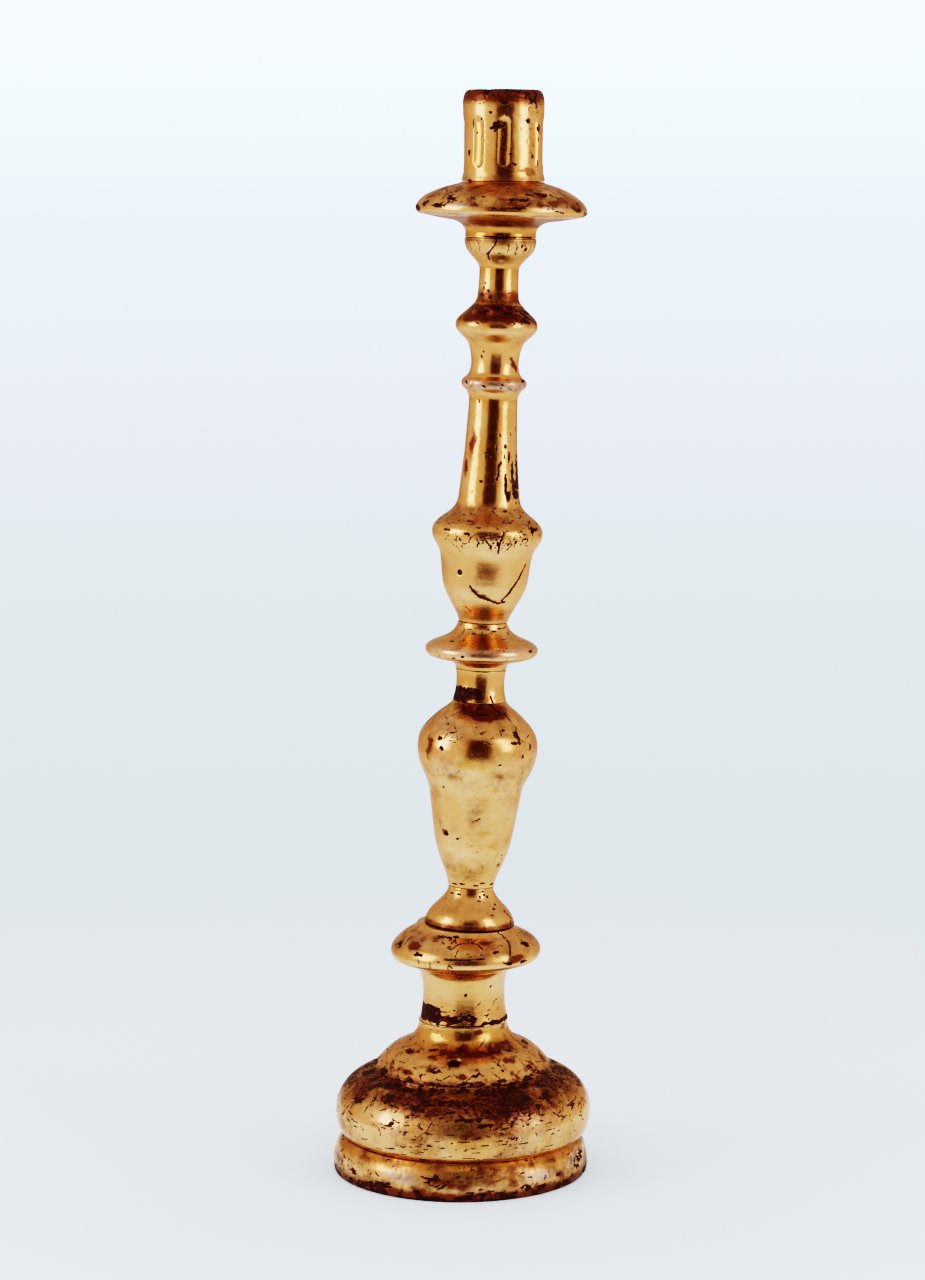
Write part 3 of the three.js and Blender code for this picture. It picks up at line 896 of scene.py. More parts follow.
def dress_base_dome(skin):
    skin.paint(wear=0.42 + 0.30 * skin.cloud(10, 1))
    skin.scratches(110, (1, 16), AROUND, 5, 40, 0.28)
    skin.patches("grime", 0.42, 7, 1.6, 12)
    foot = 1 - smooth(0.5, 5, skin.height)
    skin.patches("loss", 0.26 * foot + 0.24, 4, 2)
    skin.paint(grime=0.7 * foot + 0.35 * skin.belt(9, 16, 2))
    skin.paint(amber=0.8 * skin.belt(12, 23, 3))
    hole = smooth(0.40, 0.56, skin.spot(-7, 10.1, 3.0, 2.5) + 0.06 * skin.cloud(2, 9))
    skin.press(hole, 2.2)
    skin.paint(loss=hole)
    skin.paint(grime=skin.spot(-7, 10.1, 5, 4))
    skin.spots("loss", (
        (-54, 11.6, 4.5, 1.8), (10, 5, 4, 1.2), (53, 5.4, 2.4, 1.4), (61, 1.8, 3, 1.2), (88, 12, 3, 1.6),
        (-30, 13.6, 4, 0.9), (28, 13, 5, 0.8), (48, 12.5, 4, 1.0), (-20, 6, 3, 0.9), (-40, 4, 3, 1),
    ))
    smoke = skin.belt(11, 17, 2.5) * skin.sector(-35, 60, 14)
    skin.paint(grime=0.8 * smoke * (1 + 0.8 * skin.cloud(5, 8)))


def base_dome(material):
    top = HEIGHT["base_dome"] - GAP
    outline = Outline(DOME_RADIUS - 0.8, 0).curve(DOME_RADIUS - 0.1, 0, DOME_RADIUS - 0.4, 0.7)
    outline.curve(42.5, 3, 40, 7, 34.8, 10.4).curve(29, 13.4, 22.2, 14.8, 22.35, top)
    piece = Turning("base_dome", outline, sides=600, seed=33)
    piece.through_bore("base_neck", "base_dome")
    piece.build(dress_base_dome, material)


def dress_base_neck(skin):
    skin.paint(wear=0.12)
    solid = skin.sector(-84, -33, 3) * skin.belt(1.4, 9.5, 1.2)
    spread = skin.sector(-40, 20, 9) * skin.belt(1.2, 7.2, 2.2)
    skin.tear(solid, 3, 0.35)
    skin.patches("loss", 0.62 * spread, 2.6, 1.6)
    skin.tear(0.8 * skin.sector(20, 100, 12) * skin.belt(0.5, 3, 1), 4, 0.4)
    skin.crack([(-36, 0.9), (-10, 0.8), (14, 0.8), (26, 0.6)], 0.4, 0.1)
    skin.spots("loss", ((3, 16.3, 0.7), (-60, 12, 1, 0.5), (40, 20, 0.8, 0.5)))
    skin.paint(amber=0.45 * skin.sector(-20, 30, 14) * skin.belt(8, 28, 3))
    skin.paint(wear=0.45 * skin.belt(-1, 12, 2) + 0.1)
    skin.scratches(26, (0.5, 12), (-60, 60), 4, 40, 0.25)
    skin.patches("loss", 0.30 * skin.sector(110, 260, 20), 5, 1.6)


def base_neck(material):
    top = HEIGHT["base_neck"] - GAP
    outline = Outline(21.9, 0).curve(22.3, 0, 22.25, 0.4).curve(20.8, 6, 20.6, 14)
    outline.curve(20.6, 21, 21.5, 25, 24.4, top - 0.3).curve(24.5, top, 24.1, top)
    piece = Turning("base_neck", outline, sides=300, seed=44)
    piece.tenon()
    piece.blind_bore("vase", "lower_disc", "lower_cup", slope=slope_between("vase", "base_neck"))
    piece.build(dress_base_neck, material)


# ---------------------------------------------------------------- lower disc, cup and vase

def dress_lower_disc(skin):
    skin.paint(wear=0.36 + 0.3 * skin.cloud(12, 1))
    skin.paint(grime=0.5 * skin.belt(9, 20, 3) * (0.8 + 0.6 * skin.cloud(10, 2)))
    skin.patches("loss", 0.20 * skin.belt(8, 22, 2), 4, 1.6)
    skin.scratches(46, (4, 19), AROUND, 3.5, 50, 0.3)
    skin.scratches(12, (16.5, 19), (-34, -6), 2.2, 60, 0.35)
    skin.paint(pale=0.5 * skin.spot(-53, 16, 9, 6))
    skin.crack([(-12, 14.6), (-7, 16.6), (3, 17.3), (11, 16.6), (15, 14.6)], 0.4, 0.15)
    skin.crack([(-16, 10.4), (0, 10.2), (14, 10.6)], 0.45, 0.12)
    skin.crack([(42, 20.5), (46, 19.3), (43, 15.6), (36, 11)], 0.5, 0.5)
    skin.spots("loss", (
        (34, 7, 3, 0.6), (50, 6.6, 3, 0.7), (-28, 18.6, 2, 1), (-18, 18.5, 1.4, 0.8), (-10, 19, 1.2, 0.7),
        (-70, 12, 3, 2), (25, 13, 2, 1), (62, 14, 3, 1.4), (-40, 11, 3, 1),
    ))
    skin.spots("grime", ((-46, 14, 6, 3), (40, 9, 7, 2), (20, 17, 5, 1.5)), 5)


def lower_disc(material):
    top = HEIGHT["lower_disc"] - GAP
    outline = Outline(24.2, 0).curve(24.6, 0, 25, 0.2).curve(31, 1.6, 35.4, 3.6).curve(37.7, 4.8, 37.7, 7.3)
    outline.curve(37.7, 12.2, 32.5, 15.8, 26.2, 18.6).line(24.4, top - 0.6).curve(24.3, top, 23.8, top)
    pivot = FOOT["lower_cup"].translation.x - FOOT["lower_disc"].translation.x
    piece = Turning("lower_disc", outline, sides=400, seed=55)
    piece.through_bore("vase", "lower_disc", "lower_cup", slope=slope_between("vase", "lower_disc"))
    piece.hide_above((TENON["vase"][0] + TENON_ROOM, -GAP, "lower_cup"))
    piece.tilt_top(slope_between("lower_disc", "lower_cup"), pivot, 14)
    piece.build(dress_lower_disc, material)


def dress_lower_cup(skin):
    skin.paint(wear=0.10 + 0.2 * skin.cloud(9, 1))
    skin.paint(amber=0.15 * skin.belt(6, 18, 3))
    skin.ticks((
        (-52, 16.4, 1.6, 0.4), (-30, 16.5, 1.6, 0.4), (31, 18.6, 0.9, 0.4), (34, 16.6, 0.9, 0.45),
        (42, 15.7, 0.8, 0.6), (22, 15.8, 0.6, 0.9), (18, 13.9, 1.1, 0.5), (54, 11.9, 0.8, 0.6),
        (44, 10.1, 1.0, 0.6), (35, 7.7, 0.9, 0.5), (67, 8.2, 1.0, 0.8),
    ))
    skin.crack([(69, 7.4), (76, 4.4), (65, 2.1)], 0.4, 0.3)
    skin.tear(skin.belt(-1, 0.9, 0.5), 3, 0.3)
    skin.paint(grime=0.8 * skin.belt(-1, 3.2, 1.0))
    skin.patches("loss", 0.30 * skin.sector(120, 250, 20), 4, 1.4)


def lower_cup(material):
    top = HEIGHT["lower_cup"] - GAP
    outline = Outline(22.0, 0.15).curve(22.7, 0.15, 22.6, 0.8).curve(22.2, 3.2, 20.9, 5.4)
    outline.curve(18.8, 9.2, 13.2, 12.5, 11.5, 17.3).line(11.35, top - 0.3).curve(11.3, top, 11.0, top)
    piece = Turning("lower_cup", outline, sides=300, seed=66)
    piece.straight_bore("vase")
    piece.build(dress_lower_cup, material)


def dress_vase(skin):
    skin.paint(wear=0.26 + 0.24 * skin.cloud(9, 1) + 0.15 * smooth(74, 90, skin.height))
    skin.paint(grime=0.22 + 0.3 * skin.cloud(12, 3))
    skin.paint(pale=0.35 * smooth(30, 60, skin.height) * (0.6 + 0.5 * skin.cloud(16, 2)))
    crown = skin.spot(2, 91, 9, 4.5) + skin.spot(24, 89.5, 10, 4.5)
    crown = crown + 0.8 * skin.spot(-34, 92, 9, 2.5, -20)
    skin.paint(grime=1.1 * crown * (1 + 0.6 * skin.cloud(5, 5)))
    skin.patches("loss", 0.40 * np.clip(crown, 0, 1), 3, 1)
    skin.scratches(26, (76, 92), (-60, 60), 4, 60, 0.25)
    skin.scratches(30, (4, 70), AROUND, 3, 60, 0.16)
    skin.crack([(24, 93.4), (44, 89.5), (48, 85.7)], 0.4, 0.2)
    skin.crack([(-84, 92), (-86, 87), (-84, 81.9)], 0.5, 0.3)
    skin.spots("loss", (
        (-28, 80.5, 1.2, 0.8), (-41, 77.3, 1.2, 0.9), (-37, 72.6, 1.4, 0.9), (3, 81.2, 1.6, 0.5),
        (14, 79.2, 1.6, 0.5), (30, 82.7, 1.4, 0.8), (43, 80.5, 1.2, 1.6), (45, 78.3, 0.9, 2.2),
        (38, 76.7, 1.6, 0.8), (49, 69.5, 1.0, 0.8), (-44, 61.2, 0.9, 0.6), (-41, 52.2, 0.7, 0.7),
        (-24, 26.6, 0.8, 0.7), (-44, 28.8, 1.6, 1.2), (-5, 71, 1.0, 0.4), (22, 66, 0.8, 0.4),
        (60, 74, 1, 1.6),
    ), 2)
    skin.spots("grime", ((-54, 72.1, 3, 5), (55, 12.6, 2.2, 1.6), (-44, 28.8, 2.6, 2)), 4)
    skin.spots("amber", ((-30, 58.2, 7, 1.6), (23, 52.2, 2.4, 2), (20, 59.7, 3, 1), (15, 30, 4, 1.2)), 4)
    skin.spots("amber", ((29, 23, 4, 1.4), (-10, 66, 9, 3)), 4)
    # Painted warm reflection and shade on the foot's underside, and a painted reflection of the dark room in
    # front on the belly.
    skin.paint(amber=0.6 * skin.belt(-1, 14, 4) + 0.5 * skin.spot(2, 72, 9, 7))
    skin.crack([(-3, 35.7), (3, 36.8), (7, 37.8)], 0.3, 0.06)
    skin.ticks((
        (-45, 1.8, 1.6, 0.5), (-23, 2.4, 1.8, 0.5), (27, 3.0, 1.6, 0.5), (11, 1.8, 1.4, 0.5),
        (60, 2, 2, 0.5),
    ))
    skin.patches("loss", 0.27 * skin.sector(120, 250, 25), 7, 1.3)


def vase(material):
    top = HEIGHT["vase"] - GAP
    outline = Outline(11.1, 0).curve(11.5, 0, 11.55, 0.4).curve(12, 6, 17.2, 13, 19.2, 23.2)
    outline.curve(20.4, 30, 22, 40, 23, 47.5).curve(23.8, 54, 30, 60.5, 30, 70.4)
    outline.curve(30, 78.5, 26.2, 81.5, 21.4, 86.4).curve(18, 89.6, 14.7, 91.2, 13.5, top - 0.3)
    outline.curve(13.45, top, 13.1, top)
    piece = Turning("vase", outline, sides=320, seed=77)
    piece.tenon()
    piece.blind_bore("upper_shaft", "neck_collar", "mid_disc")
    piece.build(dress_vase, material)


def dress_neck_collar(skin):
    skin.paint(wear=0.12)
    band = skin.sector(-95, 4, 5) * skin.belt(1.6, 7.4, 1.0)
    skin.tear(band, 2.5, 0.45)
    skin.tear(0.9 * skin.sector(-95, -25, 6) * skin.belt(-1, 4.5, 1.2), 3, 0.35)
    skin.spots("amber", ((21, 2.6, 3, 1.4),))
    # Painted warm reflection and shade under the overhanging mid disc.
    skin.paint(amber=0.5 * skin.belt(9, 16, 3))
    skin.crack([(24, 3.4), (30, 0.6)], 0.4, 0.15)


def neck_collar(material):
    top = HEIGHT["neck_collar"] - GAP
    outline = Outline(12.9, 0).curve(13.3, 0, 13.25, 0.35).curve(12, 4.5, 11.95, 9)
    outline.curve(12, 13, 12.55, top - 0.35).curve(12.6, top, 12.2, top)
    piece = Turning("neck_collar", outline, sides=240, seed=88)
    piece.straight_bore("upper_shaft")
    piece.build(dress_neck_collar, material)


def dress_mid_disc(skin):
    skin.paint(wear=0.25 + 0.25 * skin.cloud(9, 1))
    skin.paint(pale=0.5 * skin.belt(8, 13.5, 1.5))
    skin.scratches(40, (8, 22), AROUND, 2.4, 40, 0.22)
    skin.paint(grime=0.45 * skin.belt(8, 12, 1) * skin.sector(-14, 18, 8) + 0.3 * skin.belt(12, 20, 2))
    # Painted warm reflection and painted shade on the disc's underside.
    skin.paint(amber=0.7 * skin.belt(-1, 7.2, 0.8))
    skin.paint(grime=0.6 * skin.belt(3, 6.6, 0.8))
    skin.ticks((
        (-17, 18.9, 1.2, 0.5), (25, 20.2, 1.5, 0.5), (40, 21.3, 1.5, 0.5), (39, 16.7, 1.8, 0.5),
        (-30, 7.9, 1.0, 0.6), (-20, 9, 1.0, 0.6), (5, 17.4, 1.2, 0.4), (-45, 15, 1.6, 0.7),
        (60, 11, 2, 0.7),
    ))
    skin.patches("loss", 0.24 * skin.belt(10, 24, 2), 3, 1.4)


def mid_disc(material):
    top = HEIGHT["mid_disc"] - GAP
    outline = Outline(12.3, 0).curve(12.7, 0, 12.75, 0.4).curve(13, 3.4, 18, 4.6).curve(24, 5.4, 26.4, 6.6)
    outline.curve(28.1, 7.6, 28.1, 9.6).curve(28.1, 13.4, 21.5, 14, 17, 17)
    outline.curve(13, 19.5, 12.35, top - 0.35).curve(12.3, top, 11.9, top)
    slope = slope_between("mid_disc", "upper_shaft")
    piece = Turning("mid_disc", outline, sides=320, seed=99)
    piece.through_bore("upper_shaft", "mid_disc")
    piece.tilt_top(slope, 0, 18)
    piece.tilt_foot(slope)
    piece.build(dress_mid_disc, material)


# ---------------------------------------------------------------- upper shaft

def shaft_outline():
    """Urn, taper, ring, spool, knop, throat and bulb."""
    top = HEIGHT["upper_shaft"] - GAP
    outline = Outline(11.8, 0).curve(12.2, 0, 12.25, 0.4)
    outline.curve(13, 5, 20.6, 13, 21.4, 21.6).curve(22.4, 27, 22.2, 33, 24.3, 36.8)
    outline.curve(26, 39.6, 27.5, 41.4, 27.5, 45).curve(27.5, 49.6, 21, 52.6, 18, 55.8)
    outline.curve(15.4, 58.6, 15.1, 63).curve(12.3, 90, 12.15, 110.5)
    outline.curve(12.4, 113.4, 14.2, 115.1).curve(16.7, 117, 16.7, 119.4, 14.8, 120.8)
    outline.curve(12, 122.6, 11.8, 127.6).curve(12, 135, 14.2, 138.4)
    outline.curve(16.6, 141.6, 20.3, 143, 20.3, 147).curve(20.3, 151.6, 11.6, 155, 10.4, 160)
    outline.curve(9.6, 167, 9.9, 175).curve(11.4, 178.4, 15.4, 181, 16.8, 183.8)
    return outline.curve(17.7, 186, 17.7, 188.4).line(17.7, top - 0.35).curve(17.7, top, 17.3, top)


def dress_urn(skin):
    skin.paint(wear=skin.belt(38, 58, 3) * (0.50 + 0.25 * skin.cloud(8, 1)))
    skin.scratches(60, (38, 57), AROUND, 4, 40, 0.24)
    # Painted reflection: a dark spot where the urn mirrors the dark room in front.
    skin.paint(amber=0.35 * skin.spot(0, 26, 8, 7))
    skin.paint(grime=0.5 * skin.spot(0, 26, 6.5, 5.5))
    skin.patches("loss", 0.30 * skin.belt(39, 57, 3), 2.6, 1.6)
    skin.paint(grime=0.5 * skin.belt(48, 60, 3))
    skin.spots("loss", (
        (58, 48.3, 3, 1.6), (27, 51.6, 2, 0.8), (27, 56.6, 1.4, 0.6), (-23, 51.7, 2, 0.7),
        (-22, 46, 1.6, 0.6), (9, 58, 1.2, 0.5), (-10, 49, 1.4, 0.6), (40, 44, 1.6, 0.6),
        (-50, 47, 2.4, 1.0), (12, 45, 1.2, 0.5),
    ), 2)
    for angle in (-36, -30, -21, -12, -6, 3, 8, 15, 21, 28, 36, 44, 52):
        level = 41 + (angle * 7) % 5
        skin.crack([(angle, level + 2.4), (angle + 3, level), (angle + 1, level - 2.6)], 0.26, 0.08)
    skin.crack([(-2, 43), (2, 41), (5, 38)], 0.4, 0.12)
    skin.crack([(17, 47.5), (13, 42), (13, 36.6)], 0.4, 0.12)
    skin.crack([(27, 41.3), (23, 38.7)], 0.4, 0.12)
    knot = smooth(0.42, 0.54, skin.spot(-36, 25.9, 1.4, 1.4))
    skin.press(knot, 0.4)
    skin.paint(loss=knot)
    smile = [(-21, 19.5), (-15, 16.5), (-7, 14.3), (3, 13.2), (12, 12), (22, 11.2), (34, 11.8)]
    skin.crack(smile, 0.55, 0.25)
    skin.crack([(27, 12.6), (35, 15.5), (40, 19), (47, 22), (53, 25.9), (60, 30.2)], 0.6, 0.3)
    skin.spots("grime", ((-6, 14.6, 3.2, 1.2), (-15, 17, 2, 1), (2, 13.4, 2, 0.8)), 2)
    skin.crack([(-35, 8.2), (-25, 6.2)], 0.35, 0.1)
    # Painted warm reflection and painted shade on the urn's underside.
    skin.paint(amber=0.5 * skin.belt(-1, 11, 3))
    skin.paint(grime=0.45 * skin.belt(-1, 8, 3))


def dress_taper(skin):
    skin.paint(wear=0.14 * skin.belt(58, 112, 4))
    skin.tear(skin.spot(17, 76, 0.7, 3.2), 2, 0.3)
    skin.tear(skin.spot(33, 70, 1.0, 4.2), 2, 0.3)
    skin.tear(skin.spot(52, 72, 1.2, 8.5), 2, 0.4)
    skin.tear(skin.spot(70, 71.5, 1.7, 9.5), 2, 0.4)
    skin.tear(skin.spot(60, 64, 2.4, 3.0), 2, 0.4)
    skin.patches("loss", 0.44 * skin.sector(26, 78, 10) * skin.belt(60, 75, 4), 2.4, 0.35)
    skin.patches("loss", 0.36 * skin.sector(4, 44, 8) * skin.belt(64, 94, 5), 2.4, 0.3, 9)
    skin.scratches(40, (60, 108), AROUND, 2.5, 80, 0.18)
    skin.spots("loss", (
        (-19, 71, 0.8, 0.8), (-36, 65.3, 0.9, 0.7), (-10, 83, 0.5, 0.9), (42, 83, 0.6, 2.4),
    ), 2)
    skin.spots("grime", ((-46, 88.6, 2.2, 7.5), (-60, 77, 2, 4)), 4)
    skin.crack([(-37, 110.6), (-33, 109)], 0.35, 0.08)
    skin.crack([(17, 94.4), (20, 93)], 0.35, 0.08)
    skin.crack([(46, 94.6), (50, 93.4)], 0.35, 0.08)
    skin.spots("amber", ((26, 111, 3, 1.6), (10, 98, 5, 6)), 4)
    # Painted warm reflection on the underside of the ring.
    skin.paint(amber=0.6 * skin.belt(109, 115, 1))


def dress_knop(skin):
    skin.paint(pale=0.55 * skin.belt(115.5, 120.5, 0.8))
    skin.paint(wear=skin.belt(115, 121, 1) * 0.6)
    skin.paint(grime=skin.belt(115, 121, 1) * 0.4)
    skin.spots("loss", (
        (14, 118.6, 1.2, 0.7), (68, 120.4, 2, 0.8), (-20, 117.5, 1.0, 0.6), (-55, 118.5, 1.4, 0.9),
    ), 2)
    skin.tear(0.8 * skin.sector(95, 175, 8) * skin.belt(116, 120, 1), 3, 0.4)
    skin.spots("loss", ((-33, 131.4, 0.9, 0.9), (-28, 134, 0.5, 0.5)), 2)
    skin.paint(grime=skin.ragged(skin.stroke([(40, 131), (49, 128.5), (60, 126)], 1.2), 3))
    skin.patches("loss", 0.46 * skin.sector(-45, 100, 16) * skin.belt(149.2, 157.5, 2), 2.6, 1.2)
    skin.paint(grime=0.85 * skin.belt(147.5, 158, 2.2) * (0.9 + 0.5 * skin.cloud(6, 7)))
    skin.paint(wear=0.60 * skin.belt(147, 160, 2))
    skin.paint(pale=0.2 * skin.belt(142, 148, 2))
    skin.scratches(30, (146, 158), AROUND, 4, 25, 0.25)
    # Painted warm reflection on the underside of the knop.
    skin.paint(amber=0.7 * skin.belt(136, 142, 2))
    skin.spots("loss", ((44, 149.6, 3, 1.2), (-35, 153.6, 1.6, 0.8), (25, 155.8, 2.4, 1.0)), 2)


def dress_bulb(skin):
    skin.spots("loss", (
        (-46, 165, 0.8, 1.0), (-40, 167.5, 0.7, 0.7), (-30, 163.5, 0.6, 0.8), (-22, 160.7, 0.9, 0.7),
        (-50, 161.5, 1.0, 0.8), (30, 163, 0.5, 0.5), (37, 186.3, 0.7, 0.6), (46, 184.6, 0.8, 0.7),
        (28, 182, 0.6, 0.6),
    ), 2)
    skin.paint(grime=0.8 * skin.belt(157, 164, 2) + 0.6 * skin.belt(186.8, 191, 1.0))
    # Painted warm reflection on the underside of the bulb.
    skin.paint(amber=0.8 * skin.belt(170, 183, 3))
    skin.crack([(-7, 188.8), (-8, 186.5), (-16, 183.6), (-24, 181.3), (-23, 178.8)], 0.42, 0.25)
    for angle in (-62, -40, 10, 24, 41, 55, 70, 118, 163, 205, 247, 290):
        skin.crack([(angle, 187.6), (angle + 4, 185.2), (angle + 2, 182.8)], 0.24, 0.06)


def dress_upper_shaft(skin):
    dress_urn(skin)
    dress_taper(skin)
    dress_knop(skin)
    dress_bulb(skin)
    skin.patches("loss", 0.26 * skin.sector(120, 250, 25), 6, 1.2)


def upper_shaft(material):
    piece = Turning("upper_shaft", shaft_outline(), sides=240, seed=110)
    piece.tenon()
    piece.blind_bore("candle_socket", "drip_pan", slope=slope_between("candle_socket", "drip_pan"))
    piece.tilt_top(slope_between("upper_shaft", "drip_pan"), 0, 186)
    piece.build(dress_upper_shaft, material)


# ---------------------------------------------------------------- head

def dress_drip_pan(skin):
    skin.paint(wear=0.52 * skin.belt(13, 27, 2) + 0.3 * skin.cloud(9, 1) * skin.belt(13, 27, 2))
    skin.scratches(70, (13, 26), AROUND, 5, 20, 0.28)
    skin.paint(grime=0.58 * skin.belt(14.5, 28, 1.5) * (0.8 + 0.7 * skin.cloud(8, 2)))
    skin.patches("loss", 0.27 * skin.belt(14.5, 28, 1.5), 3, 1.2)
    skin.spots("loss", (
        (-39, 18.6, 4, 2), (-47, 15.4, 4, 1), (30, 21.6, 5, 1.5), (-64, 16, 3, 1.4), (61, 15, 4, 1.2),
        (80, 12.6, 5, 1.4), (4, 14.9, 9, 0.6), (-15, 20, 4, 1), (10, 19, 5, 1), (-80, 14, 4, 1.2),
    ))
    # Painted highlights: two pale streaks where the softboxes shine on the rim.
    skin.paint(pale=0.8 * skin.spot(-29, 16, 8, 1.2) + 0.8 * skin.spot(38, 15.2, 8, 1.2))
    skin.paint(pale=0.5 * skin.belt(9.5, 13, 1) * skin.sector(-80, -15, 10))
    # Painted warm reflection and painted shade on the pan's underside.
    skin.paint(amber=1.0 * skin.belt(-1, 9.6, 1.5))
    skin.paint(grime=0.75 * skin.belt(5, 10.5, 1.5))
    skin.tear(skin.spot(-77, 13.2, 4, 1.2) + skin.spot(140, 14, 5, 1.4), depth=0.7)
    skin.crack([(-30, 0.9), (0, 0.6), (35, 0.9), (60, 0.7)], 0.4, 0.1)


def drip_pan(material):
    top = HEIGHT["drip_pan"] - GAP
    outline = Outline(17.1, 0).curve(17.5, 0, 17.5, 0.4).line(17.4, 2.5).curve(18, 6.8, 23.4, 8.1)
    outline.curve(33, 9.4, 40, 11).curve(42.2, 11.8, 42.2, 13.8)
    outline.curve(42.2, 18.2, 34.2, 23.2, 24.6, 25.8).line(20.9, top - 0.5).curve(20.6, top, 20.1, top)
    bore = TENON["candle_socket"][0] + TENON_ROOM
    rim_of_seat = 17
    pivot = (FOOT["drip_pan"].inverted() @ FOOT["candle_socket"].translation).x
    piece = Turning("drip_pan", outline, sides=440, seed=121)
    piece.through_bore("candle_socket", "drip_pan", slope=slope_between("candle_socket", "drip_pan"))
    piece.hide_above((rim_of_seat, -LIGHT_GAP, "candle_socket"), (bore, -LIGHT_GAP, "candle_socket"))
    piece.tilt_top(slope_between("drip_pan", "candle_socket"), pivot, 20)
    piece.build(dress_drip_pan, material)


def carve_flutes(skin):
    """Shallow hollows with round ends, cut by hand, so no two are quite alike."""
    for index, angle in enumerate(FLUTE_ANGLES):
        right, _ = skin.offsets(angle, FLUTE["middle"])
        beyond = np.abs(skin.height - FLUTE["middle"]) - FLUTE["half_length"] + FLUTE["half_width"]
        reach = np.hypot(right + 0.25 * np.sin(skin.height / 5 + index), np.maximum(beyond, 0))
        hollow = np.clip(1 - (reach / FLUTE["half_width"]) ** 2, 0, 1)
        skin.press(hollow, FLUTE["depth"])
        skin.paint(amber=0.5 * hollow)
        edge = np.exp(-(((reach - FLUTE["half_width"]) / 0.5) ** 2))
        skin.paint(wear=0.7 * edge)
        skin.paint(loss=smooth(0.55, 0.75, 0.55 * edge + 0.35 * skin.cloud(4, 20 + index)))


def dress_candle_socket(skin):
    carve_flutes(skin)
    skin.paint(wear=0.3 + 0.4 * smooth(33, 42, skin.height))
    skin.scratches(30, (1, 42), AROUND, 4, 70, 0.22)
    rim = smooth(33, 41.5, skin.height)
    skin.patches("loss", rim * (0.30 + 0.12 * skin.sector(-25, 80, 8)), 2.6, 1.0)
    skin.paint(grime=1.0 * rim + 0.5 * skin.belt(-1, 3, 1.5))
    skin.paint(wear=0.7 * skin.sector(30, 62, 6) * skin.belt(31, 45, 2))
    skin.patches("loss", 0.42 * skin.sector(30, 62, 6) * skin.belt(33.5, 45, 1.5), 3, 1.0)
    skin.patches("loss", 0.42 * skin.belt(-1, 1.6, 0.9), 3, 1.0)
    skin.paint(grime=0.7 * skin.ragged(skin.spot(41, 4.7, 5, 2.5), 4))
    skin.tear(skin.spot(-26, 43.6, 1.6, 2.6), 2, 0.3, depth=0.9)
    chips = skin.ragged(skin.spot(120, 43.5, 4, 2), 3) + skin.ragged(skin.spot(232, 43.5, 3, 2), 3)
    skin.press(chips, 0.7)
    skin.spots("loss", (
        (-43, 23.2, 0.8), (-33, 30.2, 0.9), (-11, 26.8, 2.9, 2.3), (25, 25.4, 0.9), (35, 29.1, 1.6, 0.8),
        (10, 13.2, 0.8), (15, 8.3, 1.0, 0.7), (3, 6.8, 0.8, 0.6), (-58, 14, 0.8, 1.2), (60, 26, 1, 1.4),
        (-20, 33, 0.8, 0.6), (5, 34, 0.8, 0.7), (48, 12, 0.7, 1.0), (-2, 38, 2, 0.8),
    ), 2)
    skin.patches("loss", 0.27 * skin.sector(120, 250, 25), 5, 1.0)


def candle_socket(material):
    wall = SOCKET_WALL
    top = HEIGHT["candle_socket"]
    seat = top - CANDLE_HOLE["rebate"]
    floor = seat - CANDLE_HOLE["depth"]
    rebate = LINER["flange"] + TENON_ROOM
    hole = LINER["outside"] + TENON_ROOM
    outline = Outline(19.9, 0, 0.45).curve(20.4, 0, 20.4, 0.5).curve(20.2, 2.4, wall, 4.2).line(wall, 28)
    outline.curve(20.1, 33, 20.1, 37.5).curve(20.1, 42.6, 17.9, 44).curve(17.6, top, 17.2, top)
    outline.line(rebate + 0.4, top).curve(rebate, top, rebate, top - 0.4)
    piece = Turning("candle_socket", outline, sides=320, seed=132)
    piece.tenon()
    piece.hide_above((rebate, seat), (hole, seat), (hole, floor), (0, floor))
    piece.build(dress_candle_socket, material)


def socket_liner(material):
    """A cup of sheet metal with its rim turned out flat and its edge rolled."""
    inside, outside, flange = LINER["inside"], LINER["outside"], LINER["flange"]
    lift = -LINER["bottom"]
    rim, floor = LINER["rim"] + lift, LINER["floor"] + lift
    outline = Outline(0.01, 0.25, 1.0).line(outside - 0.6, 0.25).curve(outside, 0.25, outside, 0.8)
    outline.line(outside, rim - 1.0).curve(outside, rim - 0.8, outside + 0.3, rim - 0.8)
    outline.line(flange - 0.5, rim - 0.8)
    outline.curve(flange, rim - 0.8, flange, rim - 0.4).curve(flange, rim, flange - 0.5, rim)
    outline.line(inside + 0.8, rim - 0.1).curve(inside, rim - 0.1, inside, rim - 0.9)
    outline.line(inside, floor + 0.8).curve(inside, floor, inside - 0.8, floor).line(0.01, floor)
    turns = np.linspace(0, 2 * np.pi, 160, endpoint=False)
    rings = []
    for radius, height in outline.points:
        wave = 0.10 * np.sin(3 * turns + 0.6) * smooth(inside + 1, flange, radius)
        x, y = radius * np.sin(turns), -radius * np.cos(turns)
        rings.append(place(np.stack((x, y, height + wave), axis=1), FOOT["socket_liner"]))
    mesh = mesh_of_rings("socket_liner", rings, open_ended=True)
    mesh.polygons.foreach_set("use_smooth", np.ones(len(mesh.polygons), bool))
    add_piece("socket_liner", "sheet", mesh, material, "liner")


# ---------------------------------------------------------------- nail and wedge

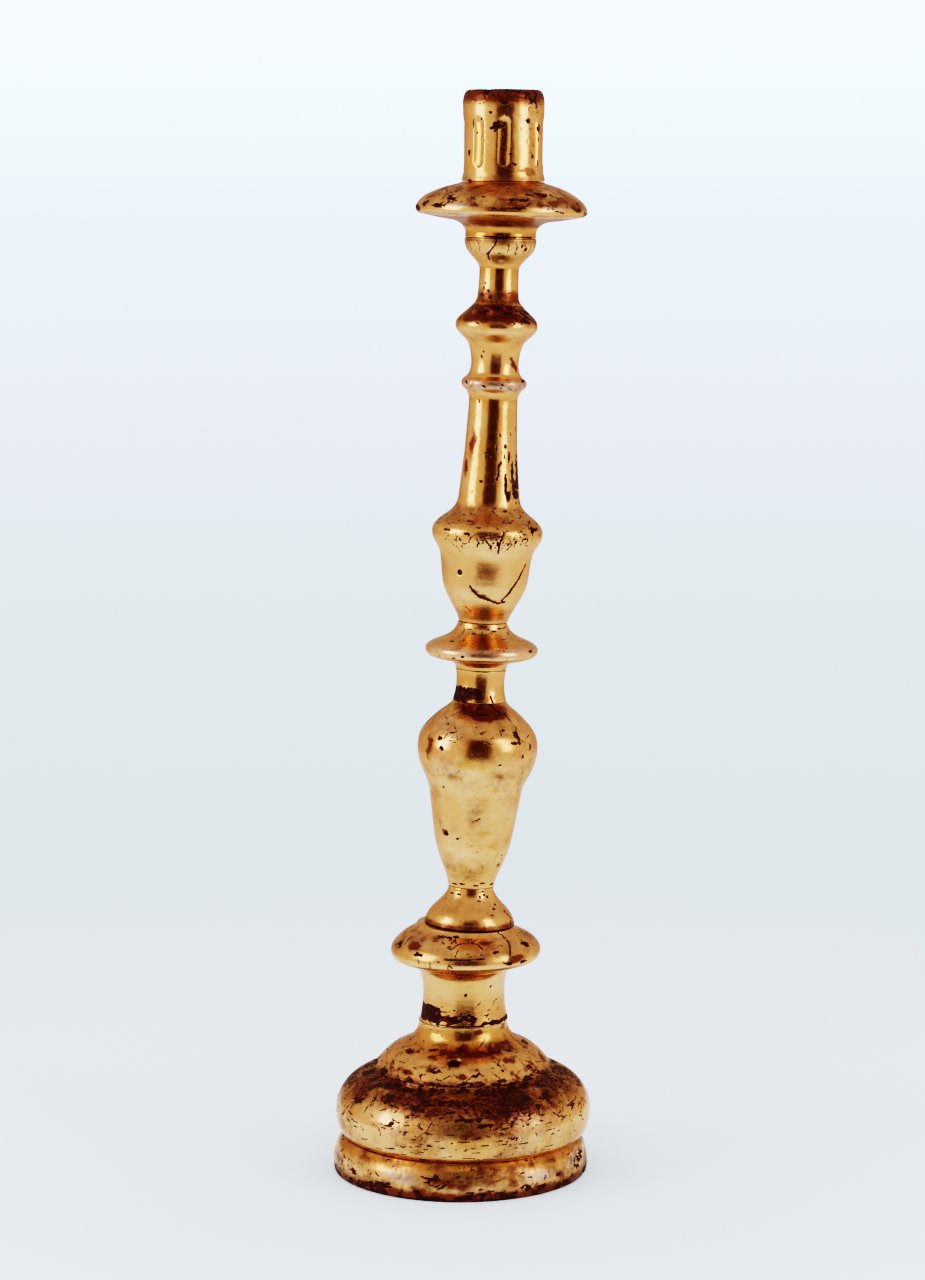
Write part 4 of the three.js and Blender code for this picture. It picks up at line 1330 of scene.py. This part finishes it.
def base_nail(material):
    """A nail with a hammered square head, driven below the surface."""
    length = NAIL["length"]
    axis = Vector(NAIL["axis"])
    turn = Vector((0, 0, 1)).rotation_difference(axis).to_matrix().to_4x4()
    own = Matrix.Translation(NAIL["head"]) @ turn
    sections = (
        (0, 0), (1.2, 0), (2.0, 0.12), (2.3, 0.4), (2.25, 0.9), (1.9, 1.2),
        (1.15, 1.35), (1.05, length / 3), (0.8, 0.75 * length), (0.3, length - 0.4), (0, length),
    )
    turns = np.linspace(0, 2 * np.pi, 24, endpoint=False)
    squared = np.minimum(squareness(turns) ** 0.45, 1.1) / 1.1
    rings = []
    for radius, height in sections:
        reach = radius * squared
        ring = np.stack((reach * np.sin(turns), -reach * np.cos(turns), np.full(len(turns), height)), axis=1)
        rings.append(place(ring[:1] if radius == 0 else ring, own))
    add_piece("base_nail", "forged", mesh_of_rings("base_nail", rings), material)


def tenon_wedge(material):
    """A split key of softwood, its sides roughly pared and its thin end up."""
    low, high = (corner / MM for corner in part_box("tenon_wedge"))
    middle = (low + high) / 2
    size = high - low
    thin = 0.3
    rise, sides = 24, 40
    turns = np.linspace(0, 2 * np.pi, sides, endpoint=False)
    squared = np.minimum(squareness(turns), 1.3) / 1.3
    rings = []
    for share in np.linspace(0, 1, rise + 1):
        rough = 1 + 0.02 * np.sin(7 * turns + 3 * share) + 0.015 * np.sin(19 * share + 5 * turns)
        reach = squared * rough / 2
        x = middle.x + (1 - share + thin * share) * size.x * reach * np.cos(turns)
        y = middle.y + size.y * reach * np.sin(turns)
        rings.append(np.stack((x, y, np.full(sides, low.z + share * size.z)), axis=1))
    bottom, top = (np.mean(ring, axis=0, keepdims=True) for ring in (rings[0], rings[-1]))
    mesh = mesh_of_rings("tenon_wedge", [bottom, *rings, top])
    add_piece("tenon_wedge", "split", mesh, material)


def squareness(turns):
    """How much further the side of a square is than that of a circle, by direction."""
    return 1 / np.maximum(np.abs(np.cos(turns)), np.abs(np.sin(turns)))


# ---------------------------------------------------------------- studio

# Sine of the height above the horizon, and the light that the camera sees there.
BACKDROP = (
    (-0.31, (1.52, 2.03, 3.00)),
    (-0.25, (1.11, 1.45, 1.80)),
    (-0.20, (0.92, 1.14, 1.35)),
    (-0.134, (0.96, 1.28, 1.45)),
    (-0.074, (1.19, 1.52, 2.03)),
    (-0.013, (1.45, 2.13, 3.73)),
    (0.047, (2.53, 5.10, 8.00)),
)
BACKDROP_SCALE = 8  # keeps the ramp's colours under 1

# Colours of the room that the leaf reflects.
BESIDE = (0.80, 0.67, 0.58)
BEHIND = (0.56, 0.46, 0.40)
CEILING = (0.66, 0.56, 0.50)
LOW_DOWN = (0.98, 0.90, 0.88)
DARK_FRONT = (0.055, 0.020, 0.011)

EVEN_LIGHT = (1.28, 1.41, 1.54)  # on everything that isn't shiny
PAPER = (0.78, 0.83, 0.87)
SOFTBOX = (1.0, 0.98, 0.95)
SOFTBOX_TALL = 1.0
SOFTBOX_DISTANCE = 1.3
CAMERA_PLACE = (0.00035, -1.7, 0.5)
CAMERA_DIP = 7.72  # degrees that it looks down
CAMERA_LENS = 96.98


def make_camera():
    data = bpy.data.cameras.new("camera")
    data.sensor_width = 36
    data.lens = CAMERA_LENS
    data.clip_start = 0.05
    data.clip_end = 20
    camera = bpy.data.objects.new("camera", data)
    camera.location = CAMERA_PLACE
    camera.rotation_euler = (math.radians(90 - CAMERA_DIP), 0, 0)
    bpy.context.scene.collection.objects.link(camera)
    bpy.context.scene.camera = camera


def make_softbox(name, azimuth, height, width, power):
    """A light that faces the middle of the candlestick. Azimuth grows from the front to the right."""
    data = bpy.data.lights.new(name, "AREA")
    data.shape = "RECTANGLE"
    data.size = width
    data.size_y = SOFTBOX_TALL
    data.energy = power
    data.color = SOFTBOX
    light = bpy.data.objects.new(name, data)
    turn = math.radians(azimuth)
    light.location = (SOFTBOX_DISTANCE * math.sin(turn), -SOFTBOX_DISTANCE * math.cos(turn), height)
    aim = Vector((0.01, 0, 0.25)) - light.location
    light.rotation_euler = aim.to_track_quat("-Z", "Y").to_euler()
    bpy.context.scene.collection.objects.link(light)


def make_world():
    """A pale backdrop for the camera, and for the rest even light, with a warm room to reflect."""
    world = bpy.data.worlds.new("studio")
    bpy.context.scene.world = world
    world.use_nodes = True
    n = Nodes(world.node_tree)
    direction = n.add("ShaderNodeTexCoord").outputs["Generated"]
    parts = n.add("ShaderNodeSeparateXYZ")
    n.feed(parts.inputs[0], direction)
    x, y, z = parts.outputs
    azimuth = n.math("ARCTAN2", x, n.times(y, -1.0))
    sideways = n.math("ABSOLUTE", n.plus(azimuth, -0.06))

    ramp = n.add("ShaderNodeValToRGB")
    n.feed(ramp.inputs[0], n.plus(z, 0.5))
    elements = ramp.color_ramp.elements
    for index, (height, color) in enumerate(BACKDROP):
        element = elements[index] if index < 2 else elements.new(0.5 + height)
        element.position = 0.5 + height
        element.color = (*(part / BACKDROP_SCALE for part in color), 1)

    front = n.times(n.step(sideways, 0.40, 0.52, 1, 0), n.step(z, 0.66, 0.82, 1, 0), n.step(z, -0.48, -0.30))
    ceiling = n.step(z, 0.30, 0.75)
    behind = n.step(sideways, 1.9, 2.6)
    room = n.mix(behind, BESIDE, BEHIND)
    room = n.mix(ceiling, room, CEILING)
    room = n.mix(n.step(z, -0.30, -0.10, 1, 0), room, LOW_DOWN)
    studio = n.mix(front, room, DARK_FRONT)

    path = n.add("ShaderNodeLightPath").outputs
    backdrop = n.add("ShaderNodeBackground")
    n.feed(backdrop.inputs["Color"], ramp.outputs[0])
    n.feed(backdrop.inputs["Strength"], BACKDROP_SCALE)
    around = n.add("ShaderNodeBackground")
    n.feed(around.inputs["Color"], n.mix(path["Is Diffuse Ray"], studio, EVEN_LIGHT))
    n.finish("ShaderNodeOutputWorld", n.mix_shaders(path["Is Camera Ray"], around, backdrop))


def make_floor():
    """A pale sweep of paper that melts into the backdrop."""
    mesh = bpy.data.meshes.new("floor")
    corners = 48
    radius = 1.5
    turns = [2 * math.pi * i / corners for i in range(corners)]
    rim = [(radius * math.cos(turn), radius * math.sin(turn), 0) for turn in turns]
    mesh.from_pydata(rim, [], [tuple(range(corners))])
    material, n = new_material("paper_floor")
    parts = n.add("ShaderNodeVectorMath", operation="LENGTH")
    n.feed(parts.inputs[0], n.place())
    edge = n.step(parts.outputs["Value"], 0.10, 0.80)
    paper = n.add("ShaderNodeBsdfDiffuse")
    n.feed(paper.inputs["Color"], PAPER)
    clear = n.add("ShaderNodeBsdfTransparent")
    n.finish("ShaderNodeOutputMaterial", n.mix_shaders(edge, paper, clear))
    mesh.materials.append(material)
    floor = bpy.data.objects.new("floor", mesh)
    bpy.context.scene.collection.objects.link(floor)


def make_studio():
    make_camera()
    make_world()
    make_floor()
    make_softbox("softbox_left", -70, 0.74, 0.65, 6.2)
    make_softbox("softbox_right", 60, 0.72, 0.52, 5.0)
    bpy.context.scene.view_settings.view_transform = "Filmic"
    bpy.context.scene.view_settings.look = "Very High Contrast"


# ---------------------------------------------------------------- assembly

make_studio()
gilding = worn_gilding()
for make in (
    base_plinth,
    base_torus,
    base_dome,
    base_neck,
    lower_disc,
    lower_cup,
    vase,
    neck_collar,
    mid_disc,
    upper_shaft,
    drip_pan,
    candle_socket,
):
    make(gilding)
socket_liner(sooted_tin())
base_nail(forged_iron())
tenon_wedge(bare_wood())
